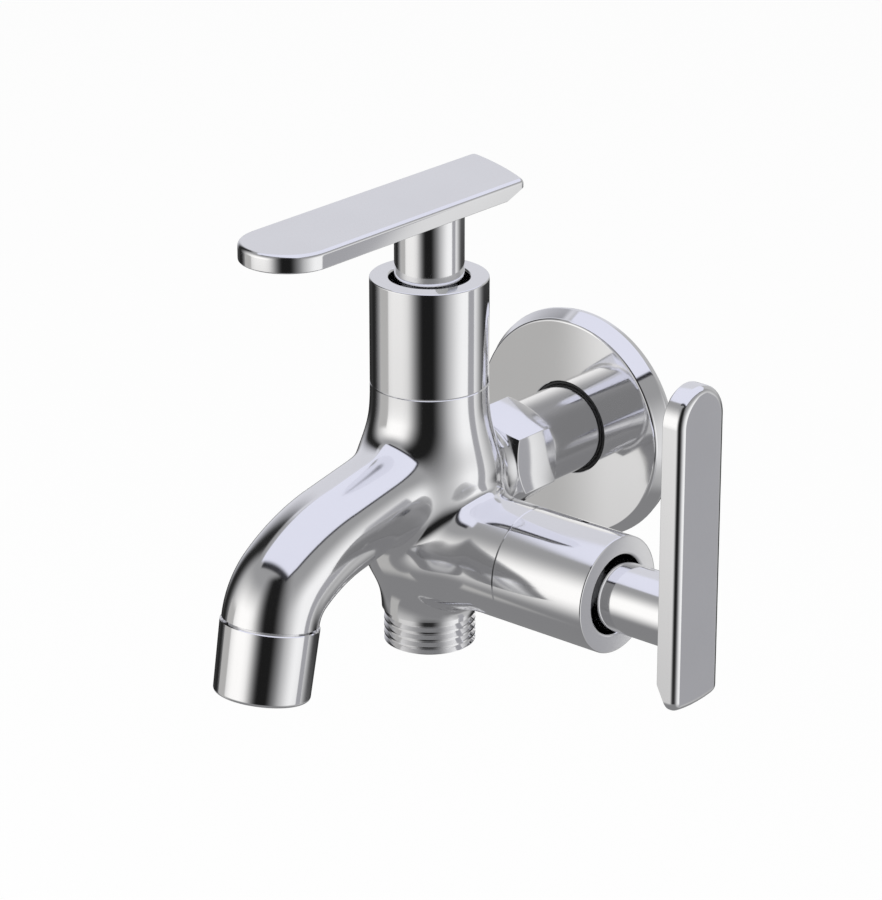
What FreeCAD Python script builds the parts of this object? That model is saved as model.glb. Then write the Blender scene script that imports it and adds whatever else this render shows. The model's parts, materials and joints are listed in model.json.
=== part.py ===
import FreeCAD, Part
import os
import re

import Sketcher
from FreeCAD import Rotation, Vector

# Two-way bib tap: one cold inlet from the wall, a spout and a hose outlet, and a quarter-turn valve for each.
# The origin is on the inlet axis in the wall plane, +Z is up, +Y goes into the wall, the spout points
# to -Y and the side valve to +X. All lengths are millimetres, all angles degrees.
#
# The body is drawn about the point where the axes of the two valves cross.
# A valve is drawn about its own axis, with its height counted from the seam between body and sleeve.
# The nozzle's pieces are drawn about the nozzle's axis, counted down from the nozzle's seam.

SIZES = {
    # Where the axes lie
    "wall_reach": (55.4, "wall plane to the top valve's axis"),
    "inlet_rise": (11.2, "inlet axis above the side valve's axis"),
    "top_seam": (37.1, "top sleeve's seam above the side valve's axis"),
    "side_seam": (29.6, "side sleeve's seam from the top valve's axis"),
    # Pipe thread, half inch parallel
    "thread_radius": (10.4775, "crest radius of the half inch pipe thread"),
    "thread_pitch": (1.814, "pitch of the thread"),
    "thread_depth": (1.162, "depth of the thread"),
    "thread_land": (0.4, "flat left on each crest"),
    "thread_slack": (0.05, "radial slack of a threaded joint"),
    # Cartridge thread, metric fine, 20 x 1.5 mm
    "valve_thread_radius": (10.0, "crest radius of the cartridges' thread"),
    "valve_thread_pitch": (1.5, "pitch of the cartridges' thread"),
    "valve_thread_depth": (0.81, "depth of the cartridges' thread"),
    # Body
    "barrel_radius": (13.4, "valve barrels and sleeves"),
    "trunk_neck": (4.2, "straight length of the trunk under the seam"),
    "trunk_shoulder": (16.8, "radius of the trunk at its shoulder"),
    "trunk_shoulder_level": (18.5, "height of the shoulder"),
    "trunk_waist": (14.4, "radius of the trunk at its waist"),
    "trunk_waist_drop": (4.5, "depth of the waist"),
    "skirt_radius": (10.95, "foot of the skirt over the hose thread"),
    "skirt_drop": (17.6, "depth of the skirt's foot"),
    "outlet_drop": (25.9, "depth of the hose thread's end"),
    "flare_radius": (15.6, "root of the side barrel"),
    "flare_start": (9.0, "side barrel's flare from the trunk axis"),
    "flare_end": (20.0, "end of that flare"),
    # Inlet
    "neck_radius": (10.9, "neck between trunk and hexagon"),
    "hex_flats": (22.4, "across the flats of the wrench hexagon"),
    "hex_start": (18.0, "near face of the hexagon from the trunk axis"),
    "hex_length": (14.0, "length of the hexagon"),
    "hex_turning": (1.8, "length of the turned corners at both ends"),
    "hex_undercut": (0.25, "hexagon's flats over the end faces' edge"),
    "hex_turn": (8.7, "turn of the hexagon about the inlet axis"),
    "stem_radius": (10.3, "smooth inlet stem"),
    "inlet_thread_length": (17.0, "inlet thread"),
    "inlet_thread_hidden": (2.0, "part of that thread in front of the wall"),
    "inlet_bore": (5.6, "radius of the inlet waterway"),
    "inlet_bore_stop": (4.5, "end of the inlet waterway beyond the trunk axis"),
    # Spout
    "spout_radius": (10.8, "outside of the spout tube"),
    "spout_bore": (6.6, "radius of the spout waterway"),
    "spout_fall": (11.2, "slope of the spout's straight run"),
    "spout_reach": (53.4, "trunk axis to the centre of the nozzle seam"),
    "spout_drop": (3.7, "depth of the nozzle seam's centre"),
    "spout_bend": (42.0, "radius of the long bend"),
    "spout_bend_end": (35.0, "slope where the long bend ends"),
    "nozzle_bend": (12.5, "radius of the short bend"),
    "nozzle_tilt": (11.0, "nozzle's lean from the vertical"),
    "spout_bore_start": (9.5, "start of the spout waterway from the trunk axis"),
    "nozzle_neck_radius": (9.3, "threaded neck inside the aerator"),
    "nozzle_neck_length": (6.5, "length of that neck"),
    "nozzle_groove": (0.5, "shadow gap over the aerator"),
    # Valve seats in the body
    "seat_depth": (17.6, "seam to valve seat"),
    "seat_hole": (5.4, "radius of the hole in the seat"),
    "well_stop": (5.4, "depth of the middle well"),
    "outlet_bore": (7.2, "radius of the hose outlet's waterway"),
    "outlet_bore_top": (9.5, "depth where that waterway starts"),
    "spout_port": (3.4, "radius of the port from the top valve to the spout"),
    "spout_port_lean": (48, "slope of that port from the vertical"),
    "hose_port": (2.3, "radius of the port from the side valve to the hose outlet"),
    "hose_port_lean": (62, "slope of that port from the vertical"),
    # Wall flange
    "flange_radius": (28.0, "outside of the flange"),
    "flange_back_radius": (27.5, "flange's edge at the wall"),
    "flange_lip": (1.6, "widest place of the flange in front of the wall"),
    "flange_face_radius": (25.6, "flat face of the flange"),
    "flange_depth": (5.8, "depth of the flange"),
    "flange_roll": (0.8, "rounding of the flange's face edge"),
    "flange_wall": (0.9, "thickness of the flange's sheet"),
    "flange_hole": (11.7, "radius of the hole in the flange"),
    "flange_seal_width": (5.0, "width of the foam seal behind the face"),
    "grip_ring_height": (1.4, "rubber ring between flange and stem"),
    "grip_ring_sink": (0.3, "that ring behind the flange's face"),
    # Aerator
    "shell_radius": (11.1, "aerator shell at its top"),
    "shell_foot_radius": (10.8, "aerator shell at its foot"),
    "shell_length": (17.0, "aerator shell"),
    "shell_lip_radius": (8.2, "mouth of the shell"),
    "shell_lip": (1.2, "thickness of the shell's lip"),
    "shell_edge": (0.9, "rounding of the shell's foot"),
    "aerator_washer": (1.8, "thickness of the aerator's washer"),
    "cage_wall": (1.1, "wall of the aerator's cage"),
    "cage_slack": (0.1, "play of the cage in the shell"),
    "screen_thickness": (0.4, "each screen"),
    "screen_gap": (0.8, "between the screens"),
    "aerator_hole": (0.8, "radius of the holes in cage and screens"),
    # Sleeve
    "sleeve_length": (24.8, "bonnet sleeve"),
    "sleeve_bore": (11.7, "radius inside the sleeve"),
    "sleeve_mouth": (9.07, "radius of the hole in the sleeve's end"),
    "sleeve_end": (3.0, "thickness of the sleeve's end"),
    "sleeve_edge": (0.35, "broken outer edge"),
    "mouth_edge": (0.6, "rounded edge of the hole"),
    # Cartridge
    "housing_nose": (9.3, "outside of the housing's nose"),
    "housing_bore": (8.5, "bore that holds the discs"),
    "housing_shoulder": (7.1, "depth of the thrust shoulder"),
    "housing_thread": (9.0, "length of thread on the housing"),
    "housing_flats": (20.0, "across the housing's flats"),
    "housing_rim": (1.2, "round rim that presses the gasket"),
    "housing_hex": (3.6, "height of the housing's hexagon"),
    "collar_height": (3.4, "collar that the sleeve screws on"),
    "housing_neck": (7.6, "neck of the housing"),
    "housing_neck_top": (13.0, "top of the neck above the seam"),
    "gasket_thickness": (1.2, "gasket under the hexagon"),
    "gasket_margin": (0.2, "gasket's edge inside the sleeve"),
    "window_height": (3.4, "water windows in the nose"),
    "window_width": (8.0, "width of the water windows"),
    "seal_thickness": (2.0, "rubber seat seal"),
    "seal_stand_out": (0.8, "seal's height below the nose"),
    "disc_thickness": (2.5, "each ceramic disc"),
    "disc_slack": (0.1, "radial play of the discs"),
    "disc_port": (1.7, "radius of the ports in the discs"),
    "disc_port_offset": (3.7, "ports from the axis"),
    "spindle_radius": (4.5, "spindle"),
    "spindle_slack": (0.05, "running clearance of the spindle"),
    "spindle_top": (32.0, "top of the spindle above the seam"),
    "spline_radius": (4.0, "splines of the spindle"),
    "spline_start": (14.3, "foot of the splines"),
    "spline_depth": (0.45, "depth of a spline groove"),
    "spline_count": (20, "number of splines"),
    "thrust_washer": (0.8, "washer under the thrust shoulder"),
    "lug_length": (10.0, "drive lug"),
    "lug_width": (2.2, "width of the lug"),
    "lug_height": (1.2, "height of the lug"),
    "lug_slack": (0.1, "play of the lug in its slot"),
    "ring_section": (0.8, "radius of the O-ring's section"),
    "ring_low": (1.6, "height of the lower O-ring"),
    "ring_high": (5.6, "height of the upper O-ring"),
    "clip_radius": (6.4, "outside of the retaining clip"),
    "clip_thickness": (0.9, "retaining clip"),
    "clip_groove_depth": (0.7, "groove that holds the clip"),
    "clip_lift": (0.1, "clip above the neck"),
    # Handles
    "handle_stem": (7.85, "radius of the handle's stem"),
    "handle_foot": (14.6, "foot of the stem above the seam"),
    "socket_slack": (0.05, "splined socket around the spindle"),
    "socket_spare": (0.5, "socket above the spindle's top"),
    "top_lift": (40.6, "underside of the top lever above its seam"),
    "side_lift": (41.8, "inside of the side lever from its seam"),
    "top_lever_width": (21.5, "top lever"),
    "side_lever_width": (15.8, "side lever"),
    "top_lever_tip": (56.7, "top stem's axis to the round tip"),
    "side_lever_tip": (53.9, "side stem's axis to the round tip"),
    "top_lever_tail": (20.0, "top stem's axis to the tail, at the side valve's side"),
    "top_tail_skew": (8.2, "top lever's tail longer at the far side"),
    "side_lever_tail": (19.2, "side stem's axis to the square tail"),
    "top_lever_thickness": (4.1, "top lever"),
    "side_lever_thickness": (5.2, "side lever"),
    "lever_edge": (1.3, "rounded edge of the lever's face"),
    "tail_corner": (1.6, "rounded upright corners of the tail"),
    "tail_bow": (0.8, "bow of the tail's edge"),
    "tail_bevel_length": (6.5, "bevel under the tail"),
    "top_bevel_height": (2.5, "height of that bevel at the top lever"),
    "side_bevel_height": (3.3, "height of that bevel at the side lever"),
    "grub_radius": (2.0, "hole for the grub screw"),
    "grub_slack": (0.05, "play of the grub screw"),
    "grub_height": (28.8, "grub screw above the seam"),
    "grub_sink": (0.4, "grub screw below the stem's skin"),
    "grub_socket": (2.0, "width of the hexagon key"),
}

doc = FreeCAD.newDocument("two_way_bib_tap")
sheet = doc.addObject("Spreadsheet::Sheet", "Sizes")
for row, (alias, (number, meaning)) in enumerate(SIZES.items(), start=1):
    sheet.set(f"A{row}", alias)
    sheet.set(f"B{row}", str(number))
    sheet.setAlias(f"B{row}", alias)
    sheet.set(f"C{row}", meaning)
doc.recompute()


def bound(text):
    """Write a formula of plain size names as the document's own expression."""

    def cell(match):
        word = match.group(0)
        return f"<<Sizes>>.{word}" if word in SIZES else word

    return re.sub(r"[a-z][a-z_]*", cell, str(text))


def new_body(name):
    """Start a sub-part with a label of its own."""
    body = doc.addObject("PartDesign::Body", name)
    body.Label = name
    return body


def plane(body, role):
    """Find one of the body's own origin planes."""
    return next(item for item in body.Origin.OriginFeatures if item.Role == role)


def new_sketch(body, name, role, shift=("0", "0", "0"), turn=None):
    """Attach a sketch to an origin plane, shifted in the plane's own axes and turned about one of them."""
    sketch = body.newObject("Sketcher::SketchObject", name)
    sketch.AttachmentSupport = (plane(body, role), [""])
    sketch.MapMode = "FlatFace"
    if turn:
        axis, angle = turn
        sketch.AttachmentOffset = FreeCAD.Placement(Vector(), Rotation(axis, 1.0))
        sketch.setExpression("AttachmentOffset.Rotation.Angle", bound(angle))
    for letter, amount in zip("xyz", shift):
        sketch.setExpression(f"AttachmentOffset.Base.{letter}", bound(amount))
    return sketch


def place_points(sketch, points):
    """Pin one construction point per pair of formulas, and return where the solver puts them."""
    for number, point in enumerate(points):
        spot = sketch.addGeometry(Part.Point(Vector(1 + number, 1 + number / 2, 0)), True)
        for kind, formula in (("DistanceX", point[0]), ("DistanceY", point[1])):
            index = sketch.addConstraint(Sketcher.Constraint(kind, -1, 1, spot, 1, 1.0 + number))
            sketch.setExpression(f"Constraints[{index}]", bound(formula))
    doc.recompute()
    return [Vector(item.X, item.Y, 0) for item in sketch.Geometry]


def draw_path(sketch, points, closed=True):
    """Join the points by lines, and by an arc where the point between two ends is marked via."""
    spots = place_points(sketch, points)
    corners = [index for index, point in enumerate(points) if len(point) == 2]
    pairs = list(zip(corners, corners[1:] + (corners[:1] if closed else [])))
    for first, last in pairs:
        middle = first + 1 if len(points[(first + 1) % len(points)]) == 3 else None
        if middle is None:
            edge = sketch.addGeometry(Part.LineSegment(spots[first], spots[last]), False)
            start, end = 1, 2
        else:
            arc = Part.Arc(spots[first], spots[middle], spots[last])
            edge = sketch.addGeometry(arc, False)
            drawn = sketch.getPoint(edge, 1)
            start, end = (1, 2) if drawn.isEqual(spots[first], 1e-5) else (2, 1)
            sketch.addConstraint(Sketcher.Constraint("PointOnObject", middle, 1, edge))
        sketch.addConstraint(Sketcher.Constraint("Coincident", edge, start, first, 1))
        sketch.addConstraint(Sketcher.Constraint("Coincident", edge, end, last, 1))
    doc.recompute()
    return sketch


def draw_circle(sketch, radius, centre=("0", "0")):
    """Draw one circle whose centre and radius follow the sheet."""
    spot = place_points(sketch, [centre])[0]
    ring = sketch.addGeometry(Part.Circle(spot, Vector(0, 0, 1), 1.0), False)
    sketch.addConstraint(Sketcher.Constraint("Coincident", ring, 3, 0, 1))
    index = sketch.addConstraint(Sketcher.Constraint("Radius", ring, 1.0))
    sketch.setExpression(f"Constraints[{index}]", bound(radius))
    doc.recompute()
    return sketch


def turn_profile(body, name, points, cut=False, role="XZ_Plane", axis="V_Axis", angle=360.0, **where):
    """Turn a closed outline about a sketch axis, as added material or as a cut."""
    sketch = draw_path(new_sketch(body, name + "_outline", role, **where), points)
    kind = "PartDesign::Groove" if cut else "PartDesign::Revolution"
    feature = body.newObject(kind, name)
    feature.Profile = sketch
    feature.ReferenceAxis = (sketch, [axis])
    feature.Angle = angle
    sketch.Visibility = False
    doc.recompute()
    return feature


def push_profile(body, name, sketch, length, cut=False, midplane=False, reverse=False):
    """Push a sketch along its normal, as a pad or as a pocket."""
    feature = body.newObject("PartDesign::Pocket" if cut else "PartDesign::Pad", name)
    feature.Profile = sketch
    feature.SideType = "Symmetric" if midplane else "One side"
    feature.Reversed = reverse
    feature.setExpression("Length", bound(length))
    sketch.Visibility = False
    doc.recompute()
    return feature


def ring_outline(inner, outer, low, high):
    """Outline of a plain ring, as radius and height."""
    return [(inner, low), (outer, low), (outer, high), (inner, high)]


def hexagon(flats):
    """Corners of a regular hexagon with this distance across its flats, a flat towards each side."""
    half = f"{flats} / 2"
    side = f"{flats} / 2 * tan(30 deg)"
    tip = f"{flats} / 2 / cos(30 deg)"
    return [(half, side), ("0", tip), (f"-{half}", side), (f"-{half}", f"-{side}"), ("0", f"-{tip}"),
            (half, f"-{side}")]


def repeat_round(body, name, feature, count):
    """Repeat a feature round the normal of its own sketch."""
    pattern = body.newObject("PartDesign::PolarPattern", name)
    pattern.Originals = [feature]
    pattern.Axis = (feature.Profile[0], ["N_Axis"])
    pattern.Angle = 360
    pattern.setExpression("Occurrences", bound(count))
    body.Tip = pattern
    doc.recompute()
    return pattern


def cut_thread(body, name, start, length, axis, outline_for, pitch="thread_pitch", **where):
    """Cut the thread as equal ring grooves at its pitch, the first one land and half a pitch from the start."""
    groove = turn_profile(body, name, outline_for(start), cut=True, axis=axis, **where)
    pattern = body.newObject("PartDesign::LinearPattern", name + "_row")
    pattern.Originals = [groove]
    pattern.Direction = (groove.Profile[0], [axis])
    pattern.setExpression("Occurrences", bound(f"floor(({length}) / {pitch})"))
    pattern.setExpression("Length", bound(f"(floor(({length}) / {pitch}) - 1) * {pitch}"))
    body.Tip = pattern
    doc.recompute()
    return pattern


def seat(body, base, axis=Vector(0, 0, 1), angle="0"):
    """Place a sub-part in the row frame."""
    body.Placement = FreeCAD.Placement(Vector(), Rotation(axis, 1.0))
    body.setExpression("Placement.Rotation.Angle", bound(angle))
    for letter, amount in zip("xyz", base):
        body.setExpression(f"Placement.Base.{letter}", bound(amount))
    return body


VALVES = {
    # Every valve is drawn upright with its lever to -Y. The side one is laid over to +X, lever up.
    "top": {
        "base": ("0", "-wall_reach", "top_seam - inlet_rise"),
        "axis": Vector(0, 0, 1),
        "angle": "0",
        "far_tail": "(top_lever_tail + top_tail_skew)",
        "tail_lean": "atan(top_tail_skew / top_lever_width)",
    },
    "side": {
        "base": ("side_seam", "-wall_reach", "-inlet_rise"),
        "axis": Vector(-1, 1, -1),
        "angle": "120",
        "far_tail": "side_lever_tail",
        "tail_lean": "0 deg",
    },
}


def seat_on_valve(body, valve):
    """Place a valve's sub-part on its seam."""
    spot = VALVES[valve]
    return seat(body, spot["base"], spot["axis"], spot["angle"])


def seat_on_nozzle(body):
    """Place a nozzle's sub-part on the nozzle's seam, pointing down the nozzle."""
    base = ("0", "-wall_reach - spout_reach", "-inlet_rise - spout_drop")
    return seat(body, base, Vector(1, 0, 0), "180 - nozzle_tilt")


def make_trunk(body):
    """Upright trunk: barrel of the top valve, shoulder, waist and skirt down to the hose outlet."""
    outline = [
        ("0", "top_seam"),
        ("barrel_radius", "top_seam"),
        ("barrel_radius", "top_seam - trunk_neck"),
        ("barrel_radius + (trunk_shoulder - barrel_radius) / 4",
         "(top_seam - trunk_neck + trunk_shoulder_level) / 2", "via"),
        ("trunk_shoulder", "trunk_shoulder_level"),
        ("trunk_shoulder + 0.25", "(trunk_shoulder_level - trunk_waist_drop) / 2", "via"),
        ("trunk_waist", "-trunk_waist_drop"),
        ("skirt_radius + (trunk_waist - skirt_radius) * 0.28",
         "-(trunk_waist_drop + skirt_drop) / 2", "via"),
        ("skirt_radius", "-skirt_drop"),
        ("thread_radius", "-skirt_drop"),
        ("thread_radius", "-outlet_drop"),
        ("0", "-outlet_drop"),
    ]
    turn_profile(body, "trunk", outline)


def make_side_barrel(body):
    """Barrel of the side valve, flared where it leaves the trunk."""
    outline = [
        ("0", "0"),
        ("0", "flare_radius"),
        ("flare_start", "flare_radius"),
        ("(flare_start + flare_end) / 2",
         "barrel_radius + (flare_radius - barrel_radius) * 0.28", "via"),
        ("flare_end", "barrel_radius"),
        ("side_seam", "barrel_radius"),
        ("side_seam", "0"),
    ]
    turn_profile(body, "side_barrel", outline, axis="H_Axis")


def make_inlet(body):
    """Neck, wrench hexagon with turned corners, smooth stem and inlet thread, towards the wall."""
    hex_corner = "hex_flats / 2 / cos(30 deg)"
    thread_start = "wall_reach - inlet_thread_hidden"
    thread_end = "wall_reach - inlet_thread_hidden + inlet_thread_length"
    raised = ("0", "inlet_rise", "0")
    outline = [
        ("0", "0"),
        ("0", "neck_radius"),
        ("hex_start + hex_length / 2", "neck_radius"),
        ("hex_start + hex_length / 2", "stem_radius"),
        (thread_start, "stem_radius"),
        (thread_start, "thread_radius"),
        (thread_end, "thread_radius"),
        (thread_end, "0"),
    ]
    turn_profile(body, "inlet_stem", outline, role="YZ_Plane", axis="H_Axis", shift=raised)
    face = new_sketch(body, "hexagon_face", "XZ_Plane", shift=("0", "inlet_rise", "-hex_start"),
                      turn=(Vector(0, 0, 1), "hex_turn"))
    draw_path(face, hexagon("hex_flats"))
    push_profile(body, "hexagon", face, "hex_length", reverse=True)
    edge = "hex_flats / 2 - hex_undercut"
    for name, end, inward in (("near", "hex_start", "+"), ("far", "(hex_start + hex_length)", "-")):
        outward = "-" if inward == "+" else "+"
        turned = [
            (f"{end} {inward} hex_turning", f"{hex_corner} + 1"),
            (f"{end} {inward} hex_turning", hex_corner),
            (end, edge),
            (f"{end} {outward} 0.1", edge),
            (f"{end} {outward} 0.1", f"{hex_corner} + 1"),
        ]
        turn_profile(body, f"hexagon_{name}_turning", turned, cut=True, role="YZ_Plane", axis="H_Axis",
                     shift=raised)


def spout_points():
    """Corners of the spout's centre line, walked back from the nozzle's seam as lines and arcs."""

    def walk(origin, radius, steep, shallow):
        across = f"({origin[0]} + {radius} * (sin({steep}) - sin({shallow})))"
        up = f"({origin[1]} + {radius} * (cos({shallow}) - cos({steep})))"
        return across, up

    steepest = "(1 deg * (90 - nozzle_tilt))"
    between = "(1 deg * spout_bend_end)"
    gentle = "(1 deg * spout_fall)"
    half_short = "(1 deg * (90 - nozzle_tilt + spout_bend_end) / 2)"
    half_long = "(1 deg * (spout_bend_end + spout_fall) / 2)"
    seam = ("-spout_reach", "-spout_drop")
    short_middle = walk(seam, "nozzle_bend", steepest, half_short)
    joint = walk(seam, "nozzle_bend", steepest, between)
    long_middle = walk(joint, "spout_bend", between, half_long)
    bend_start = walk(joint, "spout_bend", between, gentle)
    slope = f"tan({gentle})"
    bore_start = ("-spout_bore_start",
                  f"({bend_start[1]} + (-spout_bore_start - ({bend_start[0]})) * {slope})")
    root = ("0", f"({bend_start[1]} - ({bend_start[0]}) * {slope})")
    return {
        "root": root,
        "bore_start": bore_start,
        "path": [root, bore_start, bend_start, long_middle + ("via",), joint, short_middle + ("via",), seam],
    }


def make_spout(body):
    """Spout tube along its centre line, and the threaded neck that carries the aerator."""
    line = spout_points()
    route = draw_path(new_sketch(body, "spout_route", "YZ_Plane"), line["path"], closed=False)
    lean = (Vector(1, 0, 0), "spout_fall")
    ring = new_sketch(body, "spout_ring", "XZ_Plane", shift=("0", line["root"][1], "0"), turn=lean)
    draw_circle(ring, "spout_radius")
    pipe = body.newObject("PartDesign::AdditivePipe", "spout")
    pipe.Profile = ring
    pipe.Spine = (route, ["Edge1", "Edge2", "Edge3", "Edge4"])
    doc.recompute()
    neck = [
        ("0", "0.5"),
        ("nozzle_neck_radius", "0.5"),
        ("nozzle_neck_radius", "-nozzle_neck_length"),
        ("0", "-nozzle_neck_length"),
    ]
    nozzle = {"shift": ("-spout_reach", "-spout_drop", "0"), "turn": (Vector(0, 0, 1), "-nozzle_tilt")}
    turn_profile(body, "nozzle_neck", neck, role="YZ_Plane", **nozzle)
    return line, route, nozzle


def cut_waterways(body, line, route, nozzle):
    """Valve wells and seats, inlet and outlet waterways, and the ports between them."""
    well_radius = "valve_thread_radius + thread_slack"
    top_well = [
        ("0", "top_seam + 1"),
        (well_radius, "top_seam + 1"),
        (well_radius, "top_seam - seat_depth"),
        ("seat_hole", "top_seam - seat_depth"),
        ("seat_hole", "-well_stop"),
        ("0", "-well_stop"),
    ]
    turn_profile(body, "top_well", top_well, cut=True)
    side_well = [
        ("0", "0"),
        ("0", "seat_hole"),
        ("side_seam - seat_depth", "seat_hole"),
        ("side_seam - seat_depth", well_radius),
        ("side_seam + 1", well_radius),
        ("side_seam + 1", "0"),
    ]
    turn_profile(body, "side_well", side_well, cut=True, axis="H_Axis")
    inlet_end = "wall_reach - inlet_thread_hidden + inlet_thread_length + 1"
    inlet = [("-inlet_bore_stop", "0"), ("-inlet_bore_stop", "inlet_bore"),
             (inlet_end, "inlet_bore"), (inlet_end, "0")]
    turn_profile(body, "inlet_way", inlet, cut=True, role="YZ_Plane", axis="H_Axis",
                 shift=("0", "inlet_rise", "0"))
    outlet = ring_outline("0", "outlet_bore", "-outlet_drop - 1", "-outlet_bore_top")
    turn_profile(body, "outlet_way", outlet, cut=True)
    lean = (Vector(1, 0, 0), "spout_fall")
    ring = new_sketch(body, "spout_way_ring", "XZ_Plane", turn=lean,
                      shift=("0", line["bore_start"][1], "spout_bore_start"))
    draw_circle(ring, "spout_bore")
    pipe = body.newObject("PartDesign::SubtractivePipe", "spout_way")
    pipe.Profile = ring
    pipe.Spine = (route, ["Edge2", "Edge3", "Edge4"])
    doc.recompute()
    mouth = ring_outline("0", "spout_bore", "-nozzle_neck_length - 1", "0.2")
    turn_profile(body, "nozzle_way", mouth, cut=True, role="YZ_Plane", **nozzle)
    # One port runs from the top chamber forwards and down into the spout's waterway, the other
    # from the side chamber down and inwards into the hose outlet's waterway.
    turn_profile(body, "spout_port", ring_outline("0", "spout_port", "-14", "0"), cut=True,
                 role="YZ_Plane", shift=("-6.1", "top_seam - seat_depth + 6", "0"),
                 turn=(Vector(0, 0, 1), "-spout_port_lean"))
    turn_profile(body, "hose_port", ring_outline("0", "hose_port", "-12.5", "0"), cut=True,
                 shift=("side_seam - seat_depth + 4", "-7.7", "0"),
                 turn=(Vector(0, 0, 1), "-hose_port_lean"))


def cut_threads(body):
    """Ring grooves of the inlet thread and of the hose thread."""
    half_mouth = "(thread_pitch - thread_land) / 2"
    first = "thread_pitch / 2"
    thread_start = "wall_reach - inlet_thread_hidden"

    def along(start):
        return [(f"{start} + {first} - {half_mouth}", "thread_radius + 0.01"),
                (f"{start} + {first} - {half_mouth}", "thread_radius"),
                (f"{start} + {first}", "thread_radius - thread_depth"),
                (f"{start} + {first} + {half_mouth}", "thread_radius"),
                (f"{start} + {first} + {half_mouth}", "thread_radius + 0.01")]

    def upright(start):
        return [(radius, height) for height, radius in along(start)]

    cut_thread(body, "inlet_thread", thread_start, "inlet_thread_length", "H_Axis", along,
               role="YZ_Plane", shift=("0", "inlet_rise", "0"))
    cut_thread(body, "hose_thread", "-outlet_drop", "outlet_drop - skirt_drop", "V_Axis", upright)


def make_tap_body():
    """Cast and machined body with its spout, valve barrels, inlet and hose outlet."""
    body = new_body("tap_body")
    make_trunk(body)
    make_side_barrel(body)
    make_inlet(body)
    line, route, nozzle = make_spout(body)
    cut_waterways(body, line, route, nozzle)
    cut_threads(body)
    return seat(body, ("0", "-wall_reach", "-inlet_rise"))


def make_flange():
    """Shallow pressed cover over the hole in the wall, its foam seal and the rubber ring that grips the stem."""
    # Drawn with its depth along the sketch's height, and turned to face -Y.
    cover = new_body("wall_flange")
    outline = [
        ("flange_hole", "flange_depth"),
        ("flange_face_radius", "flange_depth"),
        ("flange_face_radius + flange_roll * 0.7", "flange_depth - flange_roll * 0.29", "via"),
        ("flange_face_radius + flange_roll", "flange_depth - flange_roll"),
        ("flange_radius", "flange_lip"),
        ("flange_back_radius", "0"),
        ("flange_back_radius - flange_wall", "0"),
        ("flange_radius - flange_wall", "flange_lip"),
        ("flange_face_radius + flange_roll - flange_wall", "flange_depth - flange_wall"),
        ("flange_hole", "flange_depth - flange_wall"),
    ]
    turn_profile(cover, "cover", outline)
    seat(cover, ("0", "0", "0"), Vector(1, 0, 0), "90")
    foam = new_body("flange_seal")
    foam_edge = "(flange_face_radius - flange_wall - 0.3)"
    turn_profile(foam, "foam", ring_outline(f"{foam_edge} - flange_seal_width", foam_edge, "0",
                                            "flange_depth - flange_wall"))
    seat(foam, ("0", "0", "0"), Vector(1, 0, 0), "90")
    grip = new_body("flange_grip_ring")
    turn_profile(grip, "grip", ring_outline("stem_radius", "flange_hole",
                                            "flange_depth - grip_ring_sink - grip_ring_height",
                                            "flange_depth - grip_ring_sink"))
    seat(grip, ("0", "0", "0"), Vector(1, 0, 0), "90")
    return [cover, foam, grip]


def make_aerator():
    """Shell, washer, cage and screens on the nozzle's threaded neck, drawn from the seam downwards."""
    inner = "(nozzle_neck_radius + thread_slack)"
    shell = new_body("aerator_shell")
    foot = "shell_length"
    outline = [
        (inner, "nozzle_groove"),
        ("shell_radius", "nozzle_groove"),
        ("shell_foot_radius", f"{foot} - shell_edge"),
        ("shell_foot_radius - shell_edge * 0.29", f"{foot} - shell_edge * 0.29", "via"),
        ("shell_foot_radius - shell_edge", foot),
        ("shell_lip_radius", foot),
        ("shell_lip_radius", f"{foot} - shell_lip"),
        (inner, f"{foot} - shell_lip"),
    ]
    turn_profile(shell, "shell", outline)
    washer = new_body("aerator_washer")
    washer_foot = "nozzle_neck_length + aerator_washer"
    turn_profile(washer, "washer",
                 ring_outline("spout_bore", f"{inner} - 0.1", "nozzle_neck_length", washer_foot))
    cage = new_body("aerator_cage")
    rim = f"({inner} - cage_slack)"
    base = "(shell_length - shell_lip)"
    cup = [
        (f"{rim} - cage_wall", washer_foot),
        (rim, washer_foot),
        (rim, base),
        ("0", base),
        ("0", f"{base} - cage_wall"),
        (f"{rim} - cage_wall", f"{base} - cage_wall"),
    ]
    turn_profile(cage, "cup", cup)
    drill_plate(cage, f"{base} - cage_wall - 0.1", "cage_wall + 0.2")
    screens = []
    for number in (1, 2):
        screen = new_body(f"aerator_screen_{number}")
        low = f"({base} - cage_wall - {number} * (screen_gap + screen_thickness))"
        turn_profile(screen, "mesh", ring_outline("0", f"{rim} - cage_wall - 0.1", low,
                                                  f"{low} + screen_thickness"))
        drill_plate(screen, f"{low} - 0.1", "screen_thickness + 0.2")
        screens.append(screen)
    return [seat_on_nozzle(part) for part in (shell, washer, cage, *screens)]


def drill_plate(body, start, depth):
    """Drill two rings of holes through a nozzle plate, down the nozzle."""
    for count, radius in ((6, "2.6"), (12, "5.4")):
        spot = new_sketch(body, f"hole_spot_{count}", "XY_Plane", shift=("0", "0", start))
        draw_circle(spot, "aerator_hole", centre=(radius, "0"))
        hole = push_profile(body, f"hole_{count}", spot, depth, cut=True, reverse=True)
        repeat_round(body, f"holes_{count}", hole, count)


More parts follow.
